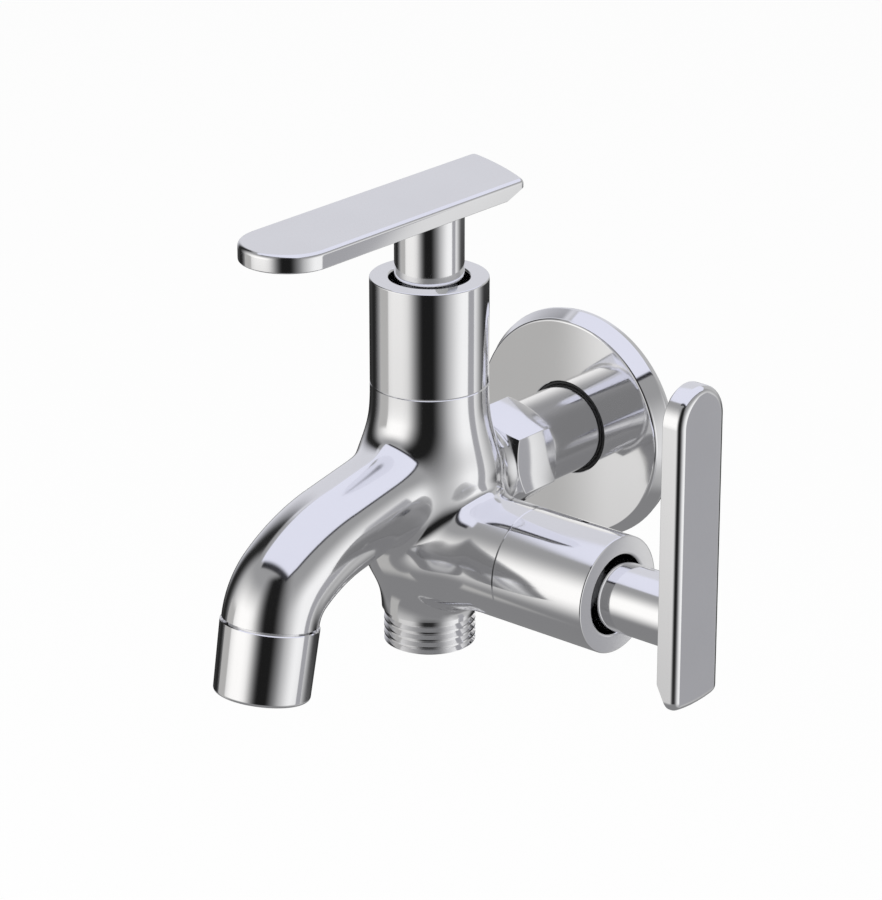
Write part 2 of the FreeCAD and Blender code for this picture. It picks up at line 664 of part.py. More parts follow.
def make_sleeve(valve):
    """Chrome sleeve over the cartridge, with a round hole for the handle's stem."""
    body = new_body(f"{valve}_bonnet_sleeve")
    top = "sleeve_length"
    outline = [
        ("sleeve_bore", "0"),
        ("barrel_radius", "0"),
        ("barrel_radius", f"{top} - sleeve_edge"),
        ("barrel_radius - sleeve_edge", top),
        ("sleeve_mouth + mouth_edge", top),
        ("sleeve_mouth + mouth_edge * 0.29", f"{top} - mouth_edge * 0.29", "via"),
        ("sleeve_mouth", f"{top} - mouth_edge"),
        ("sleeve_mouth", f"{top} - sleeve_end"),
        ("sleeve_bore", f"{top} - sleeve_end"),
    ]
    turn_profile(body, "sleeve", outline)
    return seat_on_valve(body, valve)


def make_housing(valve):
    """Brass cartridge housing: nose with water windows, fine thread, hexagon, collar and neck."""
    body = new_body(f"{valve}_cartridge_housing")
    nose = "(-seat_depth + seal_stand_out)"
    bearing = "spindle_radius + spindle_slack"
    rim_top = "(gasket_thickness + housing_rim)"
    hex_top = "(gasket_thickness + housing_rim + housing_hex)"
    outline = [
        ("housing_bore", nose),
        ("housing_nose", nose),
        ("housing_nose", "-housing_thread"),
        ("valve_thread_radius", "-housing_thread"),
        ("valve_thread_radius", "gasket_thickness"),
        ("sleeve_bore - gasket_margin", "gasket_thickness"),
        ("sleeve_bore - gasket_margin", rim_top),
        ("housing_flats / 2", rim_top),
        ("housing_flats / 2", hex_top),
        ("sleeve_bore - thread_slack", hex_top),
        ("sleeve_bore - thread_slack", f"{hex_top} + collar_height"),
        ("housing_neck", f"{hex_top} + collar_height"),
        ("housing_neck", "housing_neck_top"),
        (bearing, "housing_neck_top"),
        (bearing, "-housing_shoulder"),
        ("housing_bore", "-housing_shoulder"),
    ]
    turn_profile(body, "housing", outline)
    flats = new_sketch(body, "flats", "XY_Plane", shift=("0", "0", rim_top))
    draw_path(flats, hexagon("housing_flats"))
    inner = flats.addGeometry(Part.Circle(Vector(), Vector(0, 0, 1), 1.0), False)
    flats.addConstraint(Sketcher.Constraint("Coincident", inner, 3, -1, 1))
    index = flats.addConstraint(Sketcher.Constraint("Radius", inner, 1.0))
    flats.setExpression(f"Constraints[{index}]", bound("housing_flats / 2 - 1"))
    push_profile(body, "hexagon", flats, "housing_hex")
    low = f"{nose} + seal_thickness + disc_thickness"
    window = draw_path(new_sketch(body, "window", "XZ_Plane"),
                       [("-window_width / 2", low), ("window_width / 2", low),
                        ("window_width / 2", f"{low} + window_height"),
                        ("-window_width / 2", f"{low} + window_height")])
    push_profile(body, "windows", window, "2 * valve_thread_radius + 2", cut=True, midplane=True)

    def rings(start):
        half_mouth = "(valve_thread_pitch - thread_land) / 2"
        middle = f"{start} + valve_thread_pitch / 2"
        return [("valve_thread_radius + 0.01", f"{middle} - {half_mouth}"),
                ("valve_thread_radius", f"{middle} - {half_mouth}"),
                ("valve_thread_radius - valve_thread_depth", middle),
                ("valve_thread_radius", f"{middle} + {half_mouth}"),
                ("valve_thread_radius + 0.01", f"{middle} + {half_mouth}")]

    cut_thread(body, "fine_thread", "-housing_thread", "housing_thread", "V_Axis", rings,
               pitch="valve_thread_pitch")
    return seat_on_valve(body, valve)


def make_seals(valve):
    """Gasket under the housing's hexagon and rubber seal on the valve seat."""
    gasket = new_body(f"{valve}_housing_gasket")
    turn_profile(gasket, "ring", ring_outline("valve_thread_radius + thread_slack", "sleeve_bore - gasket_margin",
                                              "0", "gasket_thickness"))
    seal = new_body(f"{valve}_seat_seal")
    turn_profile(seal, "ring", ring_outline("seat_hole", "housing_bore - disc_slack", "-seat_depth",
                                            "-seat_depth + seal_thickness"))
    return [seat_on_valve(gasket, valve), seat_on_valve(seal, valve)]


def make_discs(valve):
    """Fixed disc with two holes, and moving disc with two open notches a quarter turn away from them."""
    radius = "housing_bore - disc_slack"
    low = "(-seat_depth + seal_thickness)"
    middle = f"({low} + disc_thickness)"
    discs = []
    for name, start in (("fixed", low), ("moving", middle)):
        disc = new_body(f"{valve}_{name}_disc")
        turn_profile(disc, "disc", ring_outline("0", radius, start, f"{start} + disc_thickness"))
        discs.append(disc)
    hole = new_sketch(discs[0], "hole_spot", "XY_Plane", shift=("0", "0", f"{low} - 0.5"))
    draw_circle(hole, "disc_port", centre=("0", "disc_port_offset"))
    notch = draw_path(new_sketch(discs[1], "notch_face", "XY_Plane", shift=("0", "0", f"{middle} - 0.5")),
                      [("disc_port_offset", "-disc_port"), ("disc_port_offset - disc_port", "0", "via"),
                       ("disc_port_offset", "disc_port"), (f"{radius} + 1", "disc_port"),
                       (f"{radius} + 1", "-disc_port")])
    for disc, opening in zip(discs, (hole, notch)):
        port = push_profile(disc, "port", opening, "disc_thickness + 1", cut=True, reverse=True)
        repeat_round(disc, "ports", port, 2)
    slot_half = "(lug_width / 2 + lug_slack)"
    slot_reach = "(lug_length / 2 + lug_slack)"
    slot = draw_path(new_sketch(discs[1], "slot_face", "XY_Plane",
                                shift=("0", "0", f"{middle} + disc_thickness")),
                     [(slot_half, slot_reach), (f"-{slot_half}", slot_reach),
                      (f"-{slot_half}", f"-{slot_reach}"), (slot_half, f"-{slot_reach}")])
    push_profile(discs[1], "slot", slot, "lug_height + lug_slack", cut=True)
    return [seat_on_valve(disc, valve) for disc in discs]


def make_spindle(valve):
    """Brass spindle: drive lug, flange, ring grooves, clip groove and splined end."""
    body = new_body(f"{valve}_spindle")
    foot = "(-seat_depth + seal_thickness + 2 * disc_thickness)"
    flange_top = "(-housing_shoulder - thrust_washer)"
    groove = "spindle_radius - 2 * ring_section"
    clip = "(housing_neck_top + clip_lift)"
    outline = [("0", foot), ("housing_bore - disc_slack", foot), ("housing_bore - disc_slack", flange_top),
               ("spindle_radius", flange_top)]
    for height in ("ring_low", "ring_high"):
        outline += [("spindle_radius", f"{height} - ring_section - 0.1"),
                    (groove, f"{height} - ring_section - 0.1"),
                    (groove, f"{height} + ring_section + 0.1"),
                    ("spindle_radius", f"{height} + ring_section + 0.1")]
    outline += [("spindle_radius", clip), ("spindle_radius - clip_groove_depth", clip),
                ("spindle_radius - clip_groove_depth", f"{clip} + clip_thickness"),
                ("spindle_radius", f"{clip} + clip_thickness"), ("spindle_radius", "spline_start"),
                ("spline_radius", "spline_start"), ("spline_radius", "spindle_top"), ("0", "spindle_top")]
    turn_profile(body, "shaft", outline)
    lug = draw_path(new_sketch(body, "lug_face", "XY_Plane", shift=("0", "0", foot)),
                    [("lug_width / 2", "lug_length / 2"), ("-lug_width / 2", "lug_length / 2"),
                     ("-lug_width / 2", "-lug_length / 2"), ("lug_width / 2", "-lug_length / 2")])
    push_profile(body, "lug", lug, "lug_height", reverse=True)
    notch = draw_path(new_sketch(body, "notch_face", "XY_Plane", shift=("0", "0", "spindle_top")),
                      [("spline_radius - spline_depth", "0"), ("spline_radius + 0.2", "spline_depth"),
                       ("spline_radius + 0.2", "-spline_depth")])
    cut = push_profile(body, "notch", notch, "spindle_top - spline_start", cut=True)
    repeat_round(body, "splines", cut, "spline_count")
    return seat_on_valve(body, valve)


def make_spindle_fittings(valve):
    """Thrust washer, retaining clip and the pair of O-rings on the spindle."""
    washer = new_body(f"{valve}_thrust_washer")
    turn_profile(washer, "ring", ring_outline("spindle_radius + spindle_slack", "housing_bore - disc_slack",
                                              "-housing_shoulder - thrust_washer", "-housing_shoulder"))
    clip = new_body(f"{valve}_spindle_clip")
    clip_foot = "(housing_neck_top + clip_lift)"
    turn_profile(clip, "ring", ring_outline("spindle_radius - clip_groove_depth", "clip_radius", clip_foot,
                                            f"{clip_foot} + clip_thickness"), angle=310.0)
    rings = []
    for name in ("low", "high"):
        ring = doc.addObject("Part::Torus", f"{valve}_o_ring_{name}")
        ring.setExpression("Radius1", bound("spindle_radius - ring_section"))
        ring.setExpression("Radius2", bound("ring_section - 0.01"))
        ring.setExpression("Placement.Base.z", bound(f"ring_{name}"))
        rings.append(ring)
    pair = doc.addObject("Part::Compound", f"{valve}_spindle_o_rings")
    pair.Label = pair.Name
    pair.Links = rings
    return [seat_on_valve(part, valve) for part in (washer, clip, pair)]


def make_handle(valve):
    """Flat lever on a round stem, cast as one: round tip, square tail bevelled from below."""
    body = new_body(f"{valve}_handle")
    lift, thick, bevel_height = f"{valve}_lift", f"{valve}_lever_thickness", f"{valve}_bevel_height"
    half = f"({valve}_lever_width / 2)"
    socket = "spline_radius + socket_slack"
    stem = [
        (socket, "handle_foot"),
        ("handle_stem", "handle_foot"),
        ("handle_stem", f"{lift} + {thick} / 2"),
        ("0", f"{lift} + {thick} / 2"),
        ("0", "spindle_top + socket_spare"),
        (socket, "spindle_top + socket_spare"),
    ]
    turn_profile(body, "stem", stem)
    straight = f"-({valve}_lever_tip - {half})"
    near, far, lean = f"{valve}_lever_tail", VALVES[valve]["far_tail"], VALVES[valve]["tail_lean"]
    face = draw_path(new_sketch(body, "lever_face", "XY_Plane", shift=("0", "0", lift)),
                     [(half, near), ("0", f"({near} + {far}) / 2 + tail_bow", "via"), (f"-{half}", far),
                      (f"-{half}", straight), ("0", f"-{valve}_lever_tip", "via"), (half, straight)])
    push_profile(body, "lever", face, thick)
    round_lever(body)
    # The bevel runs along the tail, whose middle lies this far from the axis.
    end = f"(({near} + {far}) / 2 * cos({lean}) + tail_bow)"
    bevel = draw_path(new_sketch(body, "bevel_face", "YZ_Plane", turn=(Vector(0, 1, 0), f"-{lean}")),
                      [(f"{end} - tail_bevel_length", f"{lift} - 1"),
                       (f"{end} - tail_bevel_length", lift),
                       (end, f"{lift} + {bevel_height}"),
                       (f"{end} + 1", f"{lift} + {bevel_height}"),
                       (f"{end} + 1", f"{lift} - 1")])
    push_profile(body, "bevel", bevel, f"4 * {half}", cut=True, midplane=True)
    grub = ring_outline("0", "grub_radius", "0", "handle_stem + 1")
    turn_profile(body, "grub_hole", grub, cut=True, role="YZ_Plane",
                 shift=("0", "grub_height", "0"), turn=(Vector(0, 0, 1), "-90"))
    return seat_on_valve(body, valve)


def round_edges(body, name, radius, wanted):
    """Round the edges of the body so far whose bounding box is wanted."""
    tip = body.Tip
    bounds = tip.Shape.BoundBox
    edges = [f"Edge{number}" for number, edge in enumerate(tip.Shape.Edges, start=1)
             if wanted(edge.BoundBox, bounds)]
    fillet = body.newObject("PartDesign::Fillet", name)
    fillet.Base = (tip, edges)
    fillet.setExpression("Radius", bound(radius))
    doc.recompute()


def round_lever(body):
    """Round the two upright corners of the tail, then the edge all round the lever's outer face."""

    def tail_corner(box, bounds):
        return box.ZLength > 1 and box.XLength < 1e-4 and box.YLength < 1e-4 and box.YMin > bounds.YMax / 2

    def outer_face(box, bounds):
        return box.ZMin > bounds.ZMax - 1e-4

    round_edges(body, "tail_corners", "tail_corner", tail_corner)
    round_edges(body, "soft_edge", "lever_edge", outer_face)


def make_grub_screw(valve):
    """Socket set screw in the back of the handle's stem, tight on the splines."""
    body = new_body(f"{valve}_grub_screw")
    near = "(spline_radius + socket_slack)"
    far = "(handle_stem - grub_sink)"
    shank = {"role": "YZ_Plane", "shift": ("0", "grub_height", "0"), "turn": (Vector(0, 0, 1), "-90")}
    turn_profile(body, "shank", ring_outline("0", "grub_radius - grub_slack", near, far), **shank)
    key = new_sketch(body, "key_face", "XZ_Plane", shift=("0", "grub_height", f"-{far}"))
    draw_path(key, hexagon("grub_socket"))
    push_profile(body, "key", key, f"({far} - {near}) / 2", cut=True, reverse=True)
    return seat_on_valve(body, valve)


parts = [make_tap_body()]
parts += make_flange()
parts += make_aerator()
for valve in VALVES:
    parts.append(make_sleeve(valve))
    parts.append(make_housing(valve))
    parts += make_seals(valve)
    parts += make_discs(valve)
    parts.append(make_spindle(valve))
    parts += make_spindle_fittings(valve)
    parts.append(make_handle(valve))
    parts.append(make_grub_screw(valve))
doc.recompute()

for item in doc.Objects:
    if "Invalid" in item.State or "Error" in item.State:
        raise RuntimeError(f"{item.Label} failed: {item.State}")
for part in parts:
    if part.Shape.isNull() or not part.Shape.isValid() or not part.Shape.Solids:
        raise RuntimeError(f"{part.Label} has no valid solid")

os.makedirs("parts", exist_ok=True)
for part in parts:
    part.Shape.exportStep(f"parts/{part.Label}.step")
    box = part.Shape.BoundBox
    print(f"{part.Label}: {len(part.Shape.Solids)} solid, {part.Shape.Volume:.0f} cubic mm, "
          f"y {box.YMin:.1f} to {box.YMax:.1f}, z {box.ZMin:.1f} to {box.ZMax:.1f}")
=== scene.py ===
"""Looks of the two-way bib tap: chrome casting, sleeves, levers, flange and aerator, in a plain bright studio.

Lengths are millimetres until a piece is put in place, because they are the same numbers as in the part's source.
"""

import json
import logging
from collections.abc import Callable, Iterable, Sequence
from dataclasses import dataclass, field
from enum import Enum, IntEnum
from math import atan, cos, degrees, pi, radians, sin, tan

import bmesh
import bpy
import numpy as np
from mathutils import Euler, Matrix, Vector


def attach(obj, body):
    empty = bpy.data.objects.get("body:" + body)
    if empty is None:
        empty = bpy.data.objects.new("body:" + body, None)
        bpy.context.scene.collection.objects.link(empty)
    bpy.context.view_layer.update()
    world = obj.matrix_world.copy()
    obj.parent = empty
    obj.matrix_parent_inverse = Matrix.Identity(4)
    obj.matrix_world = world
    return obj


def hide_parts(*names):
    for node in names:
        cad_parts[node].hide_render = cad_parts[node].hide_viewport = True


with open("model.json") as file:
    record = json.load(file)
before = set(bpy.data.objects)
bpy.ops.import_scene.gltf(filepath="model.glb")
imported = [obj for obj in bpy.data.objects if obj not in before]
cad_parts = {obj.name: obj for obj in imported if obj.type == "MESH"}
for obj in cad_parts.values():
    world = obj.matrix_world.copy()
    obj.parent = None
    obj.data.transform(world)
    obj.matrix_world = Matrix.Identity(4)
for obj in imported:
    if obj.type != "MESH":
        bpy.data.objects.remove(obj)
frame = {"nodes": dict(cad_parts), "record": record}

Piece = bpy.types.Object
Material = bpy.types.Material
Point = tuple[float, float]
Colour = tuple[float, float, float]

LOG = logging.getLogger("bib_tap")
MM = 0.001
MERGE = 1e-4
SMOOTH_ANGLE = radians(32)
CAST_ANGLE = radians(28)

# Sizes that several pieces share: where the valves' axes cross, the pipe thread, the barrels and their seams
CROSSING = Vector((0.0, -55.4, -11.2))
INLET_RISE = 11.2
INLET_BORE = 5.6
OUTLET_BORE = 7.2
SPOUT_BORE = 6.6
THREAD_RADIUS = 10.4775
THREAD_PITCH = 1.814
THREAD_DEPTH = 1.162
THREAD_LAND = 0.4
BARREL_RADIUS = 13.4
SEAM_CHAMFER = 0.22
TOP_SEAM = 37.1
SIDE_SEAM = 29.6

ALONG_INLET = Matrix.Rotation(-pi / 2, 4, "X")
ALONG_SIDE = Matrix.Rotation(pi / 2, 4, "Y")
OUT_OF_WALL = Matrix.Rotation(pi / 2, 4, "X")


class Valve(Enum):
    """The two valves of the tap."""

    TOP = "top"
    SIDE = "side"

    def place(self) -> Matrix:
        """Find the valve's own frame in the object's frame, still in millimetres.

        Returns:
            The frame, with its upright axis out of the barrel.
        """
        if self is Valve.TOP:
            return Matrix.Translation(CROSSING + Vector((0, 0, TOP_SEAM)))
        turn = Matrix.Rotation(radians(120), 4, Vector((-1, 1, -1)))
        return Matrix.Translation(CROSSING + Vector((SIDE_SEAM, 0, 0))) @ turn


class Machining(Enum):
    """How a chromed surface was finished before plating."""

    CAST = "cast and polished by hand"
    TURNED = "turned on a lathe"
    PRESSED = "pressed from sheet"


class Facets(IntEnum):
    """Into how many steps a turned piece is divided round its axis."""

    PORT = 32
    SCREW_HOLE = 40
    BORE = 48
    WELL = 64
    NECK = 72
    SEAM = 96
    THREAD = 120
    STEM = 128
    CAP = 144
    SLEEVE = 160
    COVER = 180


class Parts(Enum):
    """What is selected in edit mode."""

    FACES = "FACE"
    EDGES = "EDGE"


class Cut(Enum):
    """What a tool leaves of a piece."""

    OUTSIDE = "DIFFERENCE"
    INSIDE = "INTERSECT"


# ---- Work at the bench: the few ways in which every piece is made ----


def deselect() -> None:
    """Leave edit mode and deselect every object."""
    if bpy.context.object and bpy.context.object.mode != "OBJECT":
        bpy.ops.object.mode_set(mode="OBJECT")
    bpy.ops.object.select_all(action="DESELECT")


def pick(piece: Piece) -> None:
    """Make a piece the only selected and the active object.

    Args:
        piece: The piece.
    """
    deselect()
    piece.select_set(True)
    bpy.context.view_layer.objects.active = piece


def edit(piece: Piece) -> None:
    """Start editing a piece with all of it selected.

    Args:
        piece: The piece.
    """
    pick(piece)
    bpy.ops.object.mode_set(mode="EDIT")
    bpy.ops.mesh.select_all(action="SELECT")


def close(merge: bool = False) -> None:
    """Turn the edited piece's faces outwards and leave edit mode.

    Args:
        merge: Whether points that lie on each other become one first.
    """
    bpy.ops.mesh.select_all(action="SELECT")
    if merge:
        bpy.ops.mesh.remove_doubles(threshold=MERGE)
    bpy.ops.mesh.normals_make_consistent(inside=False)
    bpy.ops.object.mode_set(mode="OBJECT")


def arc(centre: Point, radius: float, start: float, end: float, steps: int) -> list[Point]:
    """Return points on an arc from a start to an end in degrees, with a number of steps between them."""
    angles = [radians(start + (end - start) * step / steps) for step in range(steps + 1)]
    return [(centre[0] + radius * cos(angle), centre[1] + radius * sin(angle)) for angle in angles]


def draw(name: str, points: Sequence[Sequence[float]]) -> Piece:
    """Draw a closed line by extruding one vertex from point to point, and stay in edit mode.

    Args:
        name: Name of the new piece.
        points: Corners of the line, in three dimensions.

    Returns:
        The new piece, with all of its line selected.
    """
    deselect()
    bpy.ops.mesh.primitive_plane_add(size=1.0, location=(0, 0, 0))
    piece = bpy.context.object
    piece.name = name
    bpy.ops.object.mode_set(mode="EDIT")
    bpy.ops.mesh.select_mode(type="VERT")
    bpy.ops.mesh.select_all(action="SELECT")
    bpy.ops.mesh.merge(type="CENTER")
    spots = [Vector(point) for point in points]
    bpy.ops.transform.translate(value=spots[0])
    for last, spot in zip(spots, spots[1:] + spots[:1]):
        bpy.ops.mesh.extrude_region_move(TRANSFORM_OT_translate={"value": spot - last})
    bpy.ops.mesh.select_all(action="SELECT")
    bpy.ops.mesh.remove_doubles(threshold=MERGE)
    return piece


def lathe(name: str, outline: Sequence[Point], facets: Facets) -> Piece:
    """Spin a closed outline of radius and height about the upright axis.

    Args:
        name: Name of the new piece.
        outline: Corners as (radius, height).
        facets: Number of steps round the axis.

    Returns:
        The turned piece, in object mode.
    """
    piece = draw(name, [(radius, 0.0, height) for radius, height in outline])
    bpy.ops.mesh.spin(steps=int(facets), angle=2 * pi, center=(0, 0, 0), axis=(0, 0, 1))
    close(merge=True)
    return piece


def rod(name: str, radius: float, low: float, high: float, facets: Facets) -> Piece:
    """Turn a plain upright rod from a low to a high end, as a tool for a hole."""
    return lathe(name, [(0, low), (radius, low), (radius, high), (0, high)], facets)


def select(piece: Piece, parts: Parts, wanted: Callable[[Vector, Vector], bool]) -> None:
    """Select, in edit mode, the faces or edges that are wanted.

    Args:
        piece: The edited piece.
        parts: Whether faces or edges are selected.
        wanted: Asked with a face's centre and normal, or with an edge's two ends.
    """
    bpy.ops.mesh.select_mode(type=parts.value)
    bpy.ops.mesh.select_all(action="DESELECT")
    mesh = bmesh.from_edit_mesh(piece.data)
    if parts is Parts.FACES:
        asked = [(face, face.calc_center_median(), face.normal) for face in mesh.faces]
    else:
        asked = [(edge, edge.verts[0].co, edge.verts[1].co) for edge in mesh.edges]
    for part, first, second in asked:
        if wanted(first, second):
            part.select_set(True)
    bmesh.update_edit_mesh(piece.data)


def modify(piece: Piece, kind: str, **settings: object) -> None:
    """Add a modifier to a piece, set it and apply it.

    Args:
        piece: The piece.
        kind: Type of the modifier.
        **settings: Its properties.
    """
    pick(piece)
    bpy.ops.object.modifier_add(type=kind)
    modifier = piece.modifiers[-1]
    for key, value in settings.items():
        setattr(modifier, key, value)
    bpy.ops.object.modifier_apply(modifier=modifier.name)


def carve(piece: Piece, tool: Piece, cut: Cut = Cut.OUTSIDE) -> None:
    """Cut a piece with a tool, whose outside or inside is left, and take the tool away."""
    modify(piece, "BOOLEAN", operation=cut.value, solver="EXACT", use_self=True, object=tool)
    bpy.data.objects.remove(tool, do_unlink=True)


def join(name: str, pieces: Sequence[Piece]) -> Piece:
    """Join pieces into the first one, and name it.

    Args:
        name: Name of the joined piece.
        pieces: At least two pieces.

    Returns:
        The joined piece.
    """
    pick(pieces[0])
    for piece in pieces[1:]:
        piece.select_set(True)
    bpy.ops.object.join()
    pieces[0].name = name
    return pieces[0]


def put(piece: Piece, place: Matrix, scale: float = 1.0) -> Piece:
    """Move a piece to its place and apply that to its mesh.

    Args:
        piece: The piece.
        place: Its own frame in the frame that it is put in.
        scale: Scale that is applied with it.

    Returns:
        The same piece.
    """
    pick(piece)
    piece.matrix_world = Matrix.Scale(scale, 4) @ place
    bpy.ops.object.transform_apply(location=True, rotation=True, scale=True)
    return piece


def read(items: bpy.types.bpy_prop_collection, key: str, width: int = 1) -> np.ndarray:
    """Read one property of all vertices, corners or faces of a mesh.

    Args:
        items: The vertices, corners or faces.
        key: Name of the property.
        width: How many numbers it holds.

    Returns:
        One row for each item, or one whole number for each where the width is 1.
    """
    values = np.empty(len(items) * width, dtype=np.int64 if width == 1 else np.float64)
    items.foreach_get(key, values)
    return values if width == 1 else values.reshape(-1, width)


# ---- Shader work and finishes ----


class Term:
    """A value in a shader that takes part in ordinary sums."""

    def __init__(self, board: "Board", socket: bpy.types.NodeSocket) -> None:
        """Wrap a socket of a board."""
        self.board = board
        self.socket = socket

    def _math(self, operation: str, *values: object) -> "Term":
        """Add a Math node for one operation on one or two values."""
        return self.board.node("ShaderNodeMath", {"operation": operation}, dict(enumerate(values)))

    def __add__(self, other: object) -> "Term":
        """Add."""
        return self._math("ADD", self, other)

    def __radd__(self, other: object) -> "Term":
        """Add, turned round."""
        return self._math("ADD", other, self)

    def __sub__(self, other: object) -> "Term":
        """Subtract."""
        return self._math("SUBTRACT", self, other)

    def __rsub__(self, other: object) -> "Term":
        """Subtract this from a number."""
        return self._math("SUBTRACT", other, self)

    def __mul__(self, other: object) -> "Term":
        """Multiply."""
        return self._math("MULTIPLY", self, other)

    def __rmul__(self, other: object) -> "Term":
        """Multiply, turned round."""
        return self._math("MULTIPLY", other, self)

    def __truediv__(self, other: object) -> "Term":
        """Divide."""
        return self._math("DIVIDE", self, other)

    def __rtruediv__(self, other: object) -> "Term":
        """Divide a number by this."""
        return self._math("DIVIDE", other, self)

    def __pow__(self, other: object) -> "Term":
        """Raise to a power."""
        return self._math("POWER", self, other)

    def __rpow__(self, other: object) -> "Term":
        """Raise a number to this."""
        return self._math("POWER", other, self)

    def __abs__(self) -> "Term":
        """Drop the sign."""
        return self._math("ABSOLUTE", self)

    def over(self, limit: float) -> "Term":
        """Return 1 where this is greater than the limit, else 0."""
        return self._math("GREATER_THAN", self, limit)

    def at_most(self, limit: float) -> "Term":
        """Return the smaller of this and the limit."""
        return self._math("MINIMUM", self, limit)

    def degrees_from(self, other: "Term") -> "Term":
        """Return the angle whose tangent is this over the other, in degrees."""
        return self._math("ARCTAN2", self, other) * degrees(1.0)


class Board:
    """The node tree of one material or world, emptied and filled again."""

    def __init__(self, owner: bpy.types.ID) -> None:
        """Start on an owner's tree.

        Args:
            owner: Material or world.
        """
        owner.use_nodes = True
        self.tree = owner.node_tree
        self.tree.nodes.clear()
        self.output = f"ShaderNodeOutput{'World' if isinstance(owner, bpy.types.World) else 'Material'}"

    def node(
        self, kind: str, settings: dict[str, object] | None = None, inputs: dict[object, object] | None = None,
        output: int | str = 0,
    ) -> Term:
        """Add any node.

        Args:
            kind: Type of the node.
            settings: Its properties, and for a ramp its stops, which are set first.
            inputs: Values or terms for its sockets, by name or number.
            output: The socket to hand back.

        Returns:
            The wrapped output.
        """
        made = self.tree.nodes.new(kind)
        for key, value in (settings or {}).items():
            if key == "stops":
                self._set_stops(made.color_ramp, value)
            else:
                setattr(made, key, value)
        for key, value in (inputs or {}).items():
            if isinstance(value, Term):
                self.tree.links.new(value.socket, made.inputs[key])
            else:
                made.inputs[key].default_value = value
        return Term(self, made.outputs[output] if len(made.outputs) else None)

    @staticmethod
    def _set_stops(ramp: bpy.types.ColorRamp, stops: Sequence[tuple[float, Colour]]) -> None:
        """Set the stops of a ramp.

        Args:
            ramp: The ramp.
            stops: Pairs of position and colour.
        """
        while len(ramp.elements) > 1:
            ramp.elements.remove(ramp.elements[-1])
        ramp.elements[0].position = stops[0][0]
        ramp.elements[0].color = (*stops[0][1], 1.0)
        for position, colour in stops[1:]:
            ramp.elements.new(position).color = (*colour, 1.0)

    def place(self) -> Term:
        """Return the Object coordinates."""
        return self.node("ShaderNodeTexCoord", output="Object")

    def place_from(self, centre: Vector) -> Term:
        """Return the Object coordinates as measured from a centre."""
        return self.node("ShaderNodeVectorMath", {"operation": "SUBTRACT"}, {0: self.place(), 1: tuple(centre)})

    def axes(self, source: Term) -> tuple[Term, Term, Term]:
        """Return the three parts of a vector."""
        split = self.node("ShaderNodeSeparateXYZ", {}, {0: source}).socket.node
        return tuple(Term(self, split.outputs[index]) for index in range(3))

    def noise(self, scale: float, detail: float = 2.0, stretch: Sequence[float] = (1, 1, 1)) -> Term:
        """Return noise on Object coordinates, its grains per metre given by the scale."""
        spot = self.node("ShaderNodeMapping", {}, {"Vector": self.place(), "Scale": tuple(stretch)})
        return self.node("ShaderNodeTexNoise", {}, {"Vector": spot, "Scale": scale, "Detail": detail})

    def ramp(self, factor: Term, stops: Sequence[tuple[float, Colour]]) -> Term:
        """Return a colour from a factor."""
        return self.node("ShaderNodeValToRGB", {"stops": stops}, {0: factor})

    def bump(self, height: Term, strength: float, distance: float) -> Term:
        """Return a normal bent by a height."""
        return self.node("ShaderNodeBump", {}, {"Height": height, "Strength": strength, "Distance": distance})

    def fade(self, offset: Term, width: float, soft: float) -> Term:
        """Return 1 over a width round offset 0, and a smooth fall to 0 at its ends.

        Args:
            offset: Where a point lies, from the middle.
            width: Width to the middle of both soft ends.
            soft: Width of each soft end.

        Returns:
            The mask.
        """
        return self.node("ShaderNodeMapRange", {"interpolation_type": "SMOOTHSTEP"}, {
            "Value": abs(offset), "From Min": (width - soft) / 2, "From Max": (width + soft) / 2,
            "To Min": 1.0, "To Max": 0.0})

    def glow(self, colour: Colour | Term) -> Term:
        """Return an even emission of a colour."""
        return self.node("ShaderNodeEmission", {}, {
            "Color": colour if isinstance(colour, Term) else (*colour, 1.0), "Strength": 1.0})

    def mix(self, factor: Term, first: Term, second: Term) -> Term:
        """Return the second shader where the factor is 1, and the first where it is 0."""
        return self.node("ShaderNodeMixShader", {}, {0: factor, 1: first, 2: second})

    def clear(self) -> Term:
        """Return a shader that light goes straight through."""
        return self.node("ShaderNodeBsdfTransparent")

    def surface(self, shader: Term) -> None:
        """Show a shader as the owner's surface."""
        self.node(self.output, {}, {"Surface": shader})


def shades(colour: Colour, low: float, high: float) -> list[tuple[float, Colour]]:
    """Return two ramp stops: a colour made a little darker, and a little lighter."""
    return [(0.3, tuple(part * low for part in colour)), (0.7, tuple(min(1.0, part * high) for part in colour))]


@dataclass(frozen=True)
class Finish:
    """A finish whose colour and roughness vary a little over a piece."""

    name: str
    colour: Colour
    roughness: float

    def material(self) -> Material:
        """Make the material.

        Returns:
            The material, under the finish's name.
        """
        made = bpy.data.materials.new(self.name)
        board = Board(made)
        board.surface(board.node("ShaderNodeBsdfPrincipled", {}, self.inputs(board)))
        return made

    def inputs(self, board: Board) -> dict[str, object]:
        """Return what the surface shader gets, by socket."""
        raise NotImplementedError


@dataclass(frozen=True)
class Chrome(Finish):
    """Bright chrome plate over polished brass, with the slight ripple that the machining left."""

    machining: Machining

    def inputs(self, board: Board) -> dict[str, object]:
        """Return the plate's haze, wiping marks and ripple.

        Args:
            board: Board of the material.

        Returns:
            Values and terms by socket.
        """
        scale, depth = {Machining.CAST: (60.0, 1.2e-5), Machining.TURNED: (25.0, 5e-6),
                        Machining.PRESSED: (35.0, 1e-5)}[self.machining]
        haze = board.noise(55.0, 4.0)
        wipe = board.noise(420.0, stretch=(1.0, 0.25, 1.0))
        return {
            "Base Color": board.ramp(haze, shades(self.colour, 0.985, 1.01)), "Metallic": 1.0,
            "Roughness": self.roughness + 0.03 * (haze * wipe),
            "Normal": board.bump(board.noise(scale, 1.0), 0.25, depth),
        }


